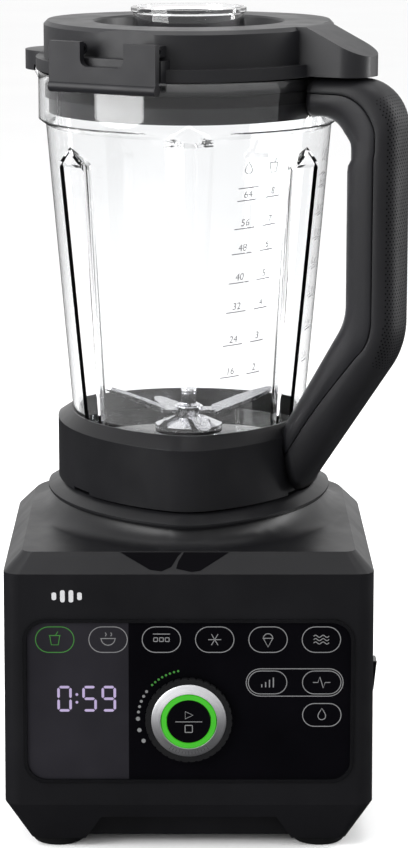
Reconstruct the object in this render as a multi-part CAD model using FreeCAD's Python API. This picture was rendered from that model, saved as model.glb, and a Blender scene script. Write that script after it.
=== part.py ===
import FreeCAD, Part
import math
import os

V = FreeCAD.Vector

# ---------------------------------------------------------------------------
# Countertop blender, millimetres.  +Z is up, the origin is on the floor on the
# common axis of motor, blades and jug, and the control panel faces -Y.
# A direction round the axis is an angle PHI: 0 faces -Y, +90 faces +X.
# ---------------------------------------------------------------------------

# Plastic walls and running clearances
WALL = 3.0
GAP = 0.4
SHAFT_GAP = 0.04

# Directions round the axis
HANDLE_PHI = 60.0
SPOUT_PHI = -120.0
LATCH_PHIS = (-30.0, 150.0)
RIB_PHIS = (-60.0, 60.0, 180.0)

# Base: plan of the housing and its levels
BASE_HALF = 96.5
BASE_FRONT = -100.0
BASE_REAR = 94.0
FRONT_CORNER = 9.0
REAR_CORNER = 40.0
TRAY_Z = 5.0
SKIRT_Z = 26.3
SKIRT_SIDE_INSET = 13.3
SKIRT_FRONT_INSET = 8.0
HOUSING_TOP = 151.0
DECK_Z = 160.5
CHAMFER = 10.0
FOOT_R = 13.6
FOOT_FRONT = (69.0, -76.0)
FOOT_REAR = (62.0, 64.0)
ARCH_TOP = 18.5
ARCH_HALF = 46.0
ARCH_FLARE = 9.0
ARCH_DEPTH = 14.0
POST_X = 74.0
POST_YS = (-40.0, 36.0)
POST_R = 5.0
POST_TOP = 60.0
SCREW_R = 2.0
SCREW_TOP = 44.0
INLET_X = -45.0
INLET_Z = 40.0
INLET_R = 8.0

# Jug seat on top of the base: corner reach, side reach, corner radius
SEAT_THROAT = (80.5, 68.5, 26.0)
SEAT_RING = (84.5, 72.0, 28.0)
RING_Z = 173.0
SEAT_Z = 177.6
WELL_R = 26.0
WELL_Z = 166.0
SEAL_R = 12.0

# Control panel
PANEL_HALF = 86.0
PANEL_LOW = 38.3
PANEL_HIGH = 127.2
PANEL_CORNER = 12.0
BEZEL_W = 2.0
PANEL_FACE = -99.4
PANEL_BACK = -97.0
BOARD_Y = -92.0
DIAL_Z = 73.2
DIAL_R = 22.6
DIAL_FACE = -104.6
RING_T = 2.4
RING_FALL = 1.5
DIAL_REST = PANEL_FACE - 0.8
METAL_R = 19.5
LIGHT_R = 14.2
BUTTON_R = 11.4
PRESS = 1.5
SWITCH_T = 1.2
HUB_R = 17.0
HUB_IN = LIGHT_R + GAP

# Side power switch
SWITCH_Y = -58.0
SWITCH_Z = 86.0
ROCKER_HALF_Z = 8.0
ROCKER_HALF_Y = 5.5
ROCKER_TILT = 6.0
ROCKER_X = 94.5
AXLE_R = 1.2
FRAME_HALF_Z = 8.6
FRAME_HALF_Y = 6.4

# Motor
SHAFT_R = 4.0
ROTOR_R = 26.0
ROTOR_GAP = 0.5
STATOR_R = 42.0
STATOR_LOW = 76.0
STATOR_HIGH = 116.0
COMMUTATOR_R = 14.0
FAN_R = 40.0
BRACKET_LOW = 42.0
BRACKET_HIGH = 124.0
LOWER_BEARING_Z = 46.0
UPPER_BEARING_Z = 130.0
BEARING_H = 7.0
BRUSH_Z = 62.0
BRUSH_HALF = 4.0
MOUNT_OFFSET = 42.0
COUPLING_LOW = 168.0
COUPLING_TOP = 186.5
SPLINE_R = 12.0
SPLINES = 6

# Jug: corner and side reach are (1 + SOFT) and (1 - SOFT) times the mean radius
SOFT = 0.06
JUG_FLOOR = 204.0
JUG_INSIDE = 207.0
JUG_LOW_R = 63.0
JUG_HIGH_R = 77.7
SHOULDER_Z = 372.0
NECK_Z = 375.5
NECK_TOP = 401.2
NECK = (82.5, 78.5, 60.0)
COLLAR = (78.2, 66.5, 27.0)
COLLAR_LOW = 178.6
COLLAR_EDGE = 211.0
COLLAR_TOP = 217.0
WEB_LOW = 200.0
SPOUT_R = 20.0

# Blade set
BLADE_T = 1.7
LOWER_BLADE_Z = 214.5
NUT_Z = 219.4
NUT_TOP = 229.0
NUT_R = 4.7
NUT_FLATS = 8.8
NUT_CROWN = 2.4
NUT_FLANGE_R = 6.8
NUT_FLANGE_T = 0.8
STUD_R = 2.8
STUD_TOP = 226.0
HUB_BLADE_R = 8.0
SHAFT_TIP_R = 4.0
# Blade arms: direction, root, length, width, bend upwards, twist
LOWER_ARMS = ((-150, 14, 23, 10, 5, 0), (21, 15.5, 12, 7.6, -27, 0))
UPPER_ARMS = ((-90, 14, 34, 9.2, 21, -28), (90, 14, 34, 9.2, 21, -17))
# Outline of an arm: share of the width from the centre line and share of the length
ARM_OUTLINE = ((-0.50, 0), (0.50, 0), (0.56, 0.40), (0.44, 0.72), (0.24, 0.92), (0.04, 1.0),
               (-0.20, 0.97), (-0.38, 0.82), (-0.48, 0.45))
BEARING_R = 11.0
STEM_R = 15.0

# Lid, latches and cap
LID_BODY = (80.0, 75.0, 56.0)
LID_FLANGE = (84.0, 79.5, 60.0)
LID_LOW = 401.6
LID_SKIRT_LOW = 379.5
LID_LEDGE = 408.0
LID_TOP = 427.0
FILLER_R = 50.0
DISH_Z = 412.0
CAP_HOLE_R = 31.2
CAP_R = 30.6
CAP_TOP = 434.0
CAP_LOW = 394.0
LATCH_HALF = 31.5
LATCH_IN = 84.0
LATCH_OUT = 88.0
LATCH_LOW = 395.0
LATCH_TOP = 421.0
COVER_TIP = 109.0
COVER_LOW = 402.0
COVER_EDGE = 412.6
COVER_ROUND = 12.5
HINGE_R = 80.0
HINGE_Z = 417.0
KNUCKLE_R = 2.8
PIN_R = 1.2
EAR = (15.0, 25.0)
LUG = (25.5, 29.5)

# Handle, in the plane through the axis at HANDLE_PHI: reach from the axis and height
GRIP_HALF = 15.0
GRIP_OUT = 127.0
GRIP_IN = 98.0
GRIP_SEAM = 116.5
SEAM_TOP = 394.0
BAR_ROOT = 64.0
BAR_LOW = 380.5
BEND_Z = 276.5
HANDLE_TOP = 401.2
HANDLE_LOW = 180.5
ROOT_IN = 44.0
ROOT_SEAM = 58.0
ROOT_OUT = 71.0
HANDLE_SCREW_Z = 192.0
HANDLE_SCREW_SIDES = (-7.0, 7.0)


# ---------------------------------------------------------------------------
# Helpers
# ---------------------------------------------------------------------------
def polar(reach, phi, z=0.0, side=0.0):
    """Point at a reach from the axis in direction phi, moved sideways by side."""
    angle = math.radians(phi)
    x = reach * math.sin(angle) + side * math.cos(angle)
    y = -reach * math.cos(angle) + side * math.sin(angle)
    return V(x, y, z)


def box(x0, x1, y0, y1, z0, z1):
    return Part.makeBox(x1 - x0, y1 - y0, z1 - z0, V(x0, y0, z0))


def radial_box(r0, r1, half, z0, z1, phi, side=0.0):
    """Box whose length runs outward in direction phi."""
    solid = Part.makeBox(2 * half, r1 - r0, z1 - z0, V(side - half, -r1, z0))
    solid.rotate(V(0, 0, 0), V(0, 0, 1), phi)
    return solid


def rod(radius, z0, z1, x=0.0, y=0.0):
    return Part.makeCylinder(radius, z1 - z0, V(x, y, z0))


def tube(outer, inner, z0, z1, x=0.0, y=0.0):
    return rod(outer, z0, z1, x, y).cut(rod(inner, z0 - 1, z1 + 1, x, y))


def rod_y(radius, y0, y1, x, z):
    return Part.makeCylinder(radius, y1 - y0, V(x, y0, z), V(0, 1, 0))


def tube_y(outer, inner, y0, y1, x, z):
    return rod_y(outer, y0, y1, x, z).cut(rod_y(inner, y0 - 1, y1 + 1, x, z))


def radial_rod(radius, r0, r1, z, phi, side=0.0):
    start = polar(r0, phi, z, side)
    return Part.makeCylinder(radius, r1 - r0, start, polar(1, phi))


def tangent_rod(radius, side0, side1, reach, z, phi):
    start = polar(reach, phi, z, side0)
    return Part.makeCylinder(radius, side1 - side0, start, polar(0, phi, 0, 1))


def polygon_prism(points, direction):
    wire = Part.makePolygon(points + [points[0]])
    return Part.Face(wire).extrude(direction)


def hexagon(across_flats, z0, z1, first=30):
    """Hexagonal bar with a corner in direction first."""
    reach = across_flats / math.sqrt(3)
    points = [polar(reach, first + 60 * k, z0) for k in range(6)]
    return polygon_prism(points, V(0, 0, z1 - z0))


def spun(profile):
    """Solid of revolution about the axis from (radius, z) points."""
    points = [V(r, 0, z) for r, z in profile]
    face = Part.Face(Part.makePolygon(points + [points[0]]))
    return face.revolve(V(0, 0, 0), V(0, 0, 1), 360)


def loft(wires):
    return Part.makeLoft(wires, True, True)


def rounded_rect(x0, x1, y0, y1, radii, place):
    """Closed wire with corner radii for (x0,y0), (x1,y0), (x1,y1), (x0,y1)."""
    corners = [(x0, y0, 1, 1), (x1, y0, -1, 1), (x1, y1, -1, -1), (x0, y1, 1, -1)]
    half = math.sqrt(0.5)
    starts, mids, ends = [], [], []
    for (x, y, sx, sy), r in zip(corners, radii):
        along_y = place(x, y + sy * r)
        along_x = place(x + sx * r, y)
        first, last = (along_y, along_x) if sx == sy else (along_x, along_y)
        starts.append(first)
        ends.append(last)
        mids.append(place(x + sx * r * (1 - half), y + sy * r * (1 - half)))
    edges = []
    for k in range(4):
        edges.append(Part.Arc(starts[k], mids[k], ends[k]).toShape())
        edges.append(Part.LineSegment(ends[k], starts[(k + 1) % 4]).toShape())
    return Part.Wire(edges)


def base_outline(z, side=0.0, front=0.0, shrink=0.0):
    """Plan of the base at height z, set in at the sides and at front and rear."""
    trim = max(side, front)
    front_r = max(FRONT_CORNER - 0.3 * trim - shrink, 2.0)
    rear_r = REAR_CORNER - 0.7 * trim - shrink
    half = BASE_HALF - side - shrink
    y0 = BASE_FRONT + front + shrink
    y1 = BASE_REAR - front - shrink
    radii = (front_r, front_r, rear_r, rear_r)
    return rounded_rect(-half, half, y0, y1, radii, lambda x, y: V(x, y, z))


def panel_plate(inset, y0, y1):
    """Upright rounded plate of the control panel's outline."""
    half = PANEL_HALF - inset
    radii = (PANEL_CORNER - inset,) * 4
    wire = rounded_rect(-half, half, PANEL_LOW + inset, PANEL_HIGH - inset, radii,
                        lambda x, z: V(x, y0, z))
    return Part.Face(wire).extrude(V(0, y1 - y0, 0))


def soft_triangle(shape, z, grow=0.0):
    """Three-cornered wire of six tangent arcs, corners at 0 and +-120 degrees."""
    corner_reach, side_reach, corner_r = (value + grow for value in shape)
    a = side_reach - corner_r
    c = corner_reach - corner_r
    s = (a * a - c * c) / (c - 2 * a)
    side_r = side_reach + s

    def tangent(corner_phi, side_phi):
        side_centre = polar(s, side_phi + 180, z)
        ray = polar(c, corner_phi, z) - side_centre
        return side_centre + ray * (side_r / ray.Length)

    edges = []
    for k in range(3):
        phi = 120 * k
        before = tangent(phi, phi - 60)
        after = tangent(phi, phi + 60)
        following = tangent(phi + 120, phi + 60)
        edges.append(Part.Arc(before, polar(corner_reach, phi, z), after).toShape())
        edges.append(Part.Arc(after, polar(side_reach, phi + 60, z), following).toShape())
    return Part.Wire(edges)


def soft_prism(shape, z0, z1, grow=0.0):
    return loft([soft_triangle(shape, z0, grow), soft_triangle(shape, z1, grow)])


def export(name, shape):
    """Write one node; a fused or cut result is reduced to clean solids first."""
    solids = [solid.removeSplitter() for solid in shape.Solids]
    result = solids[0] if len(solids) == 1 else Part.makeCompound(solids)
    result.exportStep("parts/" + name + ".step")
    print(name, len(solids), round(result.Volume / 1000, 2), result.isValid())


# ---------------------------------------------------------------------------
# Base: bottom tray, housing, top cover, feet and screws
# ---------------------------------------------------------------------------


def feet_places():
    places = []
    for x, y in (FOOT_FRONT, FOOT_REAR):
        places += [(x, y), (-x, y)]
    return places


def post_places():
    return [(sx * POST_X, y) for sx in (-1, 1) for y in POST_YS]


def skirt(shrink, z0):
    drop = (SKIRT_Z - z0) / (SKIRT_Z - TRAY_Z)
    low = base_outline(z0, SKIRT_SIDE_INSET * drop, SKIRT_FRONT_INSET * drop, shrink)
    return loft([low, base_outline(SKIRT_Z, 0, 0, shrink)])


def make_bottom_tray():
    tray = skirt(0, TRAY_Z)
    floor_z = TRAY_Z + WALL
    hollow = skirt(WALL, floor_z)
    wall_y = BASE_FRONT + ARCH_DEPTH + WALL
    hollow = hollow.common(box(-100, 100, wall_y, 100, 0, 40))
    tray = tray.cut(hollow)
    arch = polygon_prism([V(-ARCH_HALF, BASE_FRONT - 1, ARCH_TOP),
                          V(ARCH_HALF, BASE_FRONT - 1, ARCH_TOP),
                          V(ARCH_HALF + ARCH_FLARE, BASE_FRONT - 1, TRAY_Z - 1),
                          V(-ARCH_HALF - ARCH_FLARE, BASE_FRONT - 1, TRAY_Z - 1)],
                         V(0, ARCH_DEPTH + 1, 0))
    tray = tray.cut(arch)
    for x, y in post_places():
        tray = tray.fuse(tube(POST_R, SCREW_R, floor_z, SKIRT_Z, x, y))
        tray = tray.cut(rod(SCREW_R, TRAY_Z - 1, SKIRT_Z + 1, x, y))
        tray = tray.cut(rod(2 * SCREW_R, TRAY_Z - 1, floor_z - 1, x, y))
    slot_half, slot_length, slot_pitch = 1.5, 24.0, 9.0
    for k in range(-3, 4):
        x = k * slot_pitch
        for y in (-slot_length - 4, 4):
            tray = tray.cut(box(x - slot_half, x + slot_half, y, y + slot_length, 0, floor_z + 1))
    return tray


def make_main_housing():
    shell = loft([base_outline(SKIRT_Z), base_outline(HOUSING_TOP, 0.6, 0)])
    inner = loft([base_outline(SKIRT_Z - 1, 0, 0, WALL), base_outline(HOUSING_TOP + 1, 0.6, 0, WALL)])
    shell = shell.cut(inner)
    shell = shell.cut(panel_plate(0, BASE_FRONT - 2, BASE_FRONT + WALL + 2))
    shell = shell.cut(switch_block(FRAME_HALF_Z, FRAME_HALF_Y, 80, 110))
    shell = shell.cut(rod_y(INLET_R, 80, 100, INLET_X, INLET_Z))
    for x, y in post_places():
        reach = BASE_HALF - 1.5
        web = box(min(x, math.copysign(reach, x)), max(x, math.copysign(reach, x)),
                  y - 1.5, y + 1.5, SKIRT_Z, POST_TOP)
        post = rod(POST_R, SKIRT_Z, POST_TOP, x, y).cut(rod(SCREW_R, SKIRT_Z - 1, SCREW_TOP + 1, x, y))
        shell = shell.fuse(web.cut(rod(POST_R, 0, 70, x, y))).fuse(post)
    slot_rise, slot_pitch = 1.3, 6.0
    for k in range(7):
        z = 44 + k * slot_pitch
        shell = shell.cut(box(-32, 32, BASE_REAR - 6, BASE_REAR + 1, z - slot_rise, z + slot_rise))
    return shell


def throat_profile(grow, z_shift):
    """Flared body under the jug seat, as (growth, height) steps."""
    steps = [(15.0, DECK_Z - 0.5), (8.0, 162.0), (3.8, 164.5), (1.2, 168.0), (0.0, 171.0)]
    return [soft_triangle(SEAT_THROAT, z + z_shift, g + grow) for g, z in steps]


def make_top_cover():
    low = base_outline(HOUSING_TOP, 0.6, 0)
    high = base_outline(DECK_Z, CHAMFER, CHAMFER)
    cover = loft([low, high])
    flare = loft(throat_profile(0, 0))
    deck_prism = loft([base_outline(DECK_Z - 1, CHAMFER, CHAMFER),
                       base_outline(RING_Z + 20, CHAMFER, CHAMFER)])
    cover = cover.fuse(flare.common(deck_prism))
    ring = loft([soft_triangle(SEAT_RING, 170.6, -1.0), soft_triangle(SEAT_RING, RING_Z - 1.0)])
    ring = ring.fuse(loft([soft_triangle(SEAT_RING, RING_Z - 1.0), soft_triangle(SEAT_RING, RING_Z)]))
    ring = ring.fuse(loft([soft_triangle(SEAT_RING, RING_Z), soft_triangle(SEAT_RING, SEAT_Z, -7.5)]))
    cover = cover.fuse(ring)
    inner = loft([base_outline(HOUSING_TOP - 0.5, 0.6, 0, WALL),
                  base_outline(DECK_Z - WALL, CHAMFER, CHAMFER, WALL)])
    dome = loft([soft_triangle(SEAT_THROAT, DECK_Z - WALL - 1, -WALL),
                 soft_triangle(SEAT_THROAT, SEAT_Z - WALL, -WALL - 3)])
    well_wall = tube(WELL_R + WALL, WELL_R, WELL_Z - WALL, SEAT_Z)
    well_floor = rod(WELL_R + WALL, WELL_Z - WALL, WELL_Z)
    seal_boss = rod(SEAL_R + WALL, WELL_Z - 9, WELL_Z)
    cover = cover.cut(inner).cut(dome)
    cover = cover.cut(rod(WELL_R, WELL_Z, SEAT_Z + 1))
    cover = cover.fuse(well_wall).fuse(well_floor).fuse(seal_boss)
    cover = cover.cut(rod(SEAL_R, WELL_Z - 6, WELL_Z + 1)).cut(rod(SHAFT_R + 1, 150, 180))
    for sx in (-1, 1):
        for sy in (-1, 1):
            x, y = sx * MOUNT_OFFSET, sy * MOUNT_OFFSET
            cover = cover.fuse(rod(6.0, BRACKET_HIGH + 10, SEAT_Z - 1.5, x, y))
    return cover


def make_rubber_feet():
    feet = []
    for x, y in feet_places():
        foot = rod(FOOT_R, 0, TRAY_Z, x, y)
        foot = foot.makeFillet(1.2, [e for e in foot.Edges if e.BoundBox.ZMax < 0.1])
        feet.append(foot)
    return Part.makeCompound(feet)


def make_base_screws():
    screws = []
    for x, y in post_places():
        head = rod(3.6, TRAY_Z, TRAY_Z + WALL - 1, x, y)
        screws.append(head.fuse(rod(SCREW_R - 0.05, TRAY_Z, SCREW_TOP, x, y)))
    return Part.makeCompound(screws)


def make_seat_pad():
    outer, inner = 56.0, 32.0
    pad = tube(outer, inner, SEAT_Z, SEAT_Z + 3.0)
    for phi in RIB_PHIS:
        pad = pad.cut(radial_box(inner - 4, outer + 2, 3.0, SEAT_Z + 1, SEAT_Z + 4, phi))
    return pad


def make_splash_seal():
    return tube(SEAL_R, SHAFT_R + SHAFT_GAP, WELL_Z - 6, WELL_Z - 1)


# ---------------------------------------------------------------------------
# Control panel, display, dial and start button
# ---------------------------------------------------------------------------


def make_panel_bezel():
    frame = panel_plate(0, BASE_FRONT - 0.6, BOARD_Y - 1.5)
    frame = frame.cut(panel_plate(BEZEL_W, BASE_FRONT - 2, PANEL_BACK))
    return frame.cut(panel_plate(2.5 * BEZEL_W, BASE_FRONT - 2, BOARD_Y))


def make_control_panel():
    plate = panel_plate(BEZEL_W, PANEL_FACE, PANEL_BACK)
    return plate.cut(rod_y(HUB_R + GAP, PANEL_FACE - 1, PANEL_BACK + 1, 0, DIAL_Z))


def make_display_module():
    module = box(-74, -36, PANEL_BACK + 0.2, BOARD_Y, 73, 95)
    window = box(-71, -39, PANEL_BACK, PANEL_BACK + 1.0, 75.5, 92.5)
    return module.cut(window)


def make_control_board():
    board = box(-78, 78, BOARD_Y, BOARD_Y + 1.6, PANEL_LOW + 5, PANEL_HIGH - 5)
    board = board.fuse(box(20, 44, BOARD_Y + 1.6, BOARD_Y + 6, 50, 62))
    return board.fuse(box(-20, 20, BOARD_Y + 1.6, BOARD_Y + 8, 100, 110))


def make_light_ring():
    return tube_y(LIGHT_R, BUTTON_R + GAP, DIAL_FACE - 0.2, BOARD_Y, 0, DIAL_Z)


def make_dial_encoder():
    return tube_y(HUB_R + 6, HUB_R + GAP, BOARD_Y - 2.4, BOARD_Y, 0, DIAL_Z)


def make_start_switch():
    half = 3.0
    return box(-half, half, BOARD_Y - SWITCH_T, BOARD_Y, DIAL_Z - half, DIAL_Z + half)


def make_dial_hub():
    neck = tube_y(HUB_R, HUB_IN, DIAL_FACE + RING_T, BOARD_Y - 0.4, 0, DIAL_Z)
    return neck.fuse(tube_y(METAL_R, HUB_IN, DIAL_FACE + RING_T, DIAL_REST, 0, DIAL_Z))


def make_dial_ring():
    """Metal ring whose face falls away towards its rim."""
    back = DIAL_FACE + RING_T
    section = [V(HUB_IN, DIAL_FACE, 0), V(METAL_R, DIAL_FACE + RING_FALL, 0), V(METAL_R, back, 0),
               V(HUB_IN, back, 0), V(HUB_IN, DIAL_FACE, 0)]
    ring = Part.Face(Part.makePolygon(section)).revolve(V(0, 0, 0), V(0, 1, 0), 360)
    ring.translate(V(0, 0, DIAL_Z))
    return ring


def make_dial_grip():
    grip = tube_y(DIAL_R, METAL_R, DIAL_FACE + RING_FALL + 0.2, DIAL_REST, 0, DIAL_Z)
    grooves, groove_r = 36, 0.7
    cutters = []
    for k in range(grooves):
        angle = 2 * math.pi * k / grooves
        x = (DIAL_R + 0.2) * math.cos(angle)
        z = DIAL_Z + (DIAL_R + 0.2) * math.sin(angle)
        cutters.append(rod_y(groove_r, DIAL_FACE - 1, PANEL_FACE, x, z))
    return grip.cut(Part.makeCompound(cutters))


def make_start_button():
    cap_t, stem_r = 3.0, 4.0
    cap = rod_y(BUTTON_R, DIAL_FACE, DIAL_FACE + cap_t, 0, DIAL_Z)
    stem_end = BOARD_Y - SWITCH_T - PRESS - GAP
    return cap.fuse(rod_y(stem_r, DIAL_FACE + cap_t, stem_end, 0, DIAL_Z))


# ---------------------------------------------------------------------------
# Side power switch and cord inlet
# ---------------------------------------------------------------------------


def switch_block(half_z, half_y, x0, x1):
    return box(x0, x1, SWITCH_Y - half_y, SWITCH_Y + half_y, SWITCH_Z - half_z, SWITCH_Z + half_z)


def switch_axle(radius, half):
    return Part.makeCylinder(radius, 2 * half, V(ROCKER_X, SWITCH_Y - half, SWITCH_Z), V(0, 1, 0))


def make_switch_housing():
    inside = BASE_HALF - WALL - 0.6
    body = switch_block(FRAME_HALF_Z + 1.2, FRAME_HALF_Y + 1.2, 76, inside)
    body = body.fuse(switch_block(FRAME_HALF_Z, FRAME_HALF_Y, inside, BASE_HALF + 0.8))
    body = body.fuse(switch_block(FRAME_HALF_Z + 1.6, FRAME_HALF_Y + 1.6, BASE_HALF + 0.2, BASE_HALF + 1.2))
    cavity = switch_block(ROCKER_HALF_Z + 0.5, ROCKER_HALF_Y + 0.4, 88, BASE_HALF + 2)
    return body.cut(cavity).fuse(switch_axle(AXLE_R, ROCKER_HALF_Y + 0.8))


def make_power_rocker():
    rocker = switch_block(ROCKER_HALF_Z, ROCKER_HALF_Y, 92.0, 99.2)
    rocker.rotate(V(ROCKER_X, SWITCH_Y, SWITCH_Z), V(0, 1, 0), ROCKER_TILT)
    return rocker.cut(switch_axle(AXLE_R + SHAFT_GAP, 20))


def make_cord_inlet():
    inlet = rod_y(INLET_R, BASE_REAR - 10, BASE_REAR + 3, INLET_X, INLET_Z)
    flange = rod_y(INLET_R + 3, BASE_REAR - 6, BASE_REAR - WALL, INLET_X, INLET_Z)
    inlet = inlet.fuse(flange)
    return inlet.cut(rod_y(3.6, BASE_REAR - 12, BASE_REAR + 5, INLET_X, INLET_Z))


def make_power_board():
    board = box(-62, 62, -80, -48, 14, 15.6)
    board = board.fuse(box(-50, -26, -76, -54, 15.6, 32))
    board = board.fuse(box(6, 26, -76, -56, 15.6, 30)).fuse(rod(8, 15.6, 36, 45, -65))
    for x in (-58, 58):
        board = board.fuse(rod(2.5, TRAY_Z + WALL, 14, x, -64))
    return board


# ---------------------------------------------------------------------------
# Motor, standing on the axis
# ---------------------------------------------------------------------------
def make_motor_stator():
    outline = hexagon(2 * STATOR_R, STATOR_LOW, STATOR_HIGH)
    outline = outline.common(rod(STATOR_R + 4, STATOR_LOW, STATOR_HIGH))
    stator = outline.cut(rod(ROTOR_R + ROTOR_GAP, STATOR_LOW - 1, STATOR_HIGH + 1))
    for side in (-1, 1):
        stator = stator.cut(box(-35, -25, side * 18 - 6, side * 18 + 6, 0, 200))
        stator = stator.cut(box(25, 35, side * 18 - 6, side * 18 + 6, 0, 200))
    return stator


def make_field_windings():
    coils = []
    for side in (-1, 1):
        for y in (-18, 18):
            x0, x1 = sorted((side * 25, side * 35))
            coils.append(box(x0, x1, y - 6, y + 6, STATOR_LOW - 5, STATOR_HIGH + 5))
        x0, x1 = sorted((side * 29, side * 35))
        for z in (STATOR_LOW - 5, STATOR_HIGH + 1):
            coils.append(box(x0, x1, -18, 18, z, z + 4))
    shape = coils[0]
    for coil in coils[1:]:
        shape = shape.fuse(coil)
    return shape


def bracket(z0, boss_z0, boss_z1, bearing_z0, post_z0, post_z1):
    reach = MOUNT_OFFSET + 8
    plate = box(-reach, reach, -12, 12, z0, z0 + 4).fuse(box(-12, 12, -reach, reach, z0, z0 + 4))
    plate = plate.fuse(rod(BEARING_R + 4, boss_z0, boss_z1))
    plate = plate.cut(rod(BEARING_R, bearing_z0, bearing_z0 + 30)).cut(rod(SHAFT_R + 1.5, 0, 300))
    for side in (-1, 1):
        plate = plate.fuse(box(-4, 4, side * 36 - 4, side * 36 + 4, post_z0, post_z1))
    return plate


def make_upper_bracket():
    shape = bracket(BRACKET_HIGH, BRACKET_HIGH, UPPER_BEARING_Z + BEARING_H, UPPER_BEARING_Z,
                    STATOR_HIGH, BRACKET_HIGH)
    for sx in (-1, 1):
        for sy in (-1, 1):
            shape = shape.fuse(rod(10, BRACKET_HIGH, BRACKET_HIGH + 4, sx * MOUNT_OFFSET, sy * MOUNT_OFFSET))
    diagonal = box(-6, 6, -60, 60, BRACKET_HIGH, BRACKET_HIGH + 4)
    for angle in (45, -45):
        arm = diagonal.copy()
        arm.rotate(V(0, 0, 0), V(0, 0, 1), angle)
        shape = shape.fuse(arm)
    return shape.cut(rod(SHAFT_R + 1.5, 0, 300)).cut(rod(BEARING_R, UPPER_BEARING_Z, UPPER_BEARING_Z + 30))


def make_lower_bracket():
    return bracket(BRACKET_LOW, BRACKET_LOW, LOWER_BEARING_Z + BEARING_H, LOWER_BEARING_Z,
                   BRACKET_LOW + 4, STATOR_LOW)


def make_motor_bearing(z0):
    return tube(BEARING_R, SHAFT_R + SHAFT_GAP, z0, z0 + BEARING_H)


def make_motor_mounts():
    mounts = []
    for sx in (-1, 1):
        for sy in (-1, 1):
            mounts.append(tube(8, 2.5, BRACKET_HIGH + 4, BRACKET_HIGH + 10,
                               sx * MOUNT_OFFSET, sy * MOUNT_OFFSET))
    return Part.makeCompound(mounts)


def make_brush_holders():
    holders = []
    for side in (-1, 1):
        x0, x1 = sorted((side * 18, side * 42))
        holder = box(x0, x1, -7, 7, BRACKET_LOW + 4, 69)
        holder = holder.cut(box(-60, 60, -BRUSH_HALF, BRUSH_HALF, BRUSH_Z - BRUSH_HALF, BRUSH_Z + BRUSH_HALF))
        holder = holder.cut(rod(BEARING_R + 4, 0, LOWER_BEARING_Z + BEARING_H))
        holders.append(holder)
    return Part.makeCompound(holders)


def make_carbon_brushes():
    brushes = []
    for side in (-1, 1):
        x0, x1 = sorted((side * (COMMUTATOR_R + 0.3), side * 36))
        brushes.append(box(x0, x1, -BRUSH_HALF, BRUSH_HALF, BRUSH_Z - BRUSH_HALF, BRUSH_Z + BRUSH_HALF))
    return Part.makeCompound(brushes)


def make_air_duct():
    duct = tube(FAN_R + 5, FAN_R + 2.5, TRAY_Z + WALL, BRACKET_LOW)
    return duct.cut(box(-60, 60, -80, -47.5, 0, 60))


def make_motor_shaft():
    return rod(SHAFT_R, 24, 183)


def make_rotor_core():
    core = tube(ROTOR_R, SHAFT_R, STATOR_LOW, STATOR_HIGH)
    slots = 12
    cutters = []
    for k in range(slots):
        phi = 360 * k / slots
        cutters.append(radial_box(ROTOR_R - 8, ROTOR_R + 2, 1.5, STATOR_LOW - 1, STATOR_HIGH + 1, phi))
    return core.cut(Part.makeCompound(cutters))


def make_commutator():
    return tube(COMMUTATOR_R, SHAFT_R, 55, 69)


def make_cooling_fan():
    fan = rod(FAN_R, 26, 28).fuse(rod(9, 26, 40))
    vanes = 12
    for k in range(vanes):
        vane = radial_box(8.5, FAN_R - 1, 0.9, 27.5, 38, 360 * k / vanes)
        fan = fan.fuse(vane)
    return fan.cut(rod(SHAFT_R, 0, 60))


def make_drive_coupling():
    hub = rod(8, COUPLING_LOW, COUPLING_TOP).fuse(rod(15, COUPLING_LOW, COUPLING_LOW + 2))
    hub = hub.fuse(rod(9, 176, COUPLING_TOP))
    for k in range(SPLINES):
        hub = hub.fuse(radial_box(0, SPLINE_R, 1.6, 176, COUPLING_TOP, 360 * k / SPLINES))
    return hub.cut(rod(SHAFT_R, 0, 183))


# ---------------------------------------------------------------------------
# Jug with collar, handle and blade bearing
# ---------------------------------------------------------------------------
def jug_shape(z):
    """Corner reach, side reach and corner radius of the jug wall at height z."""
    mean = JUG_LOW_R + (JUG_HIGH_R - JUG_LOW_R) * (z - JUG_FLOOR) / (SHOULDER_Z - JUG_FLOOR)
    return (mean * (1 + SOFT), mean * (1 - SOFT), 0.36 * mean)


def jug_outer(grow=0.0, low=JUG_FLOOR):
    body = loft([soft_triangle(jug_shape(low), low, grow),
                 soft_triangle(jug_shape(SHOULDER_Z), SHOULDER_Z, grow)])
    shoulder = loft([soft_triangle(jug_shape(SHOULDER_Z), SHOULDER_Z, grow),
                     soft_triangle(NECK, NECK_Z, grow)])
    return body.fuse(shoulder).fuse(soft_prism(NECK, NECK_Z, NECK_TOP + max(0, -grow), grow))


def spout_horn(grow):
    """Leaning cone that makes the pouring lip in the neck wall."""
    low = Part.Wire(Part.Circle(polar(56, SPOUT_PHI, NECK_Z - 6), V(0, 0, 1), SPOUT_R + grow).toShape())
    top_z = NECK_TOP + max(0, -grow)
    high = Part.Wire(Part.Circle(polar(76, SPOUT_PHI, top_z), V(0, 0, 1), SPOUT_R + grow).toShape())
    return loft([low, high])


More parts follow.
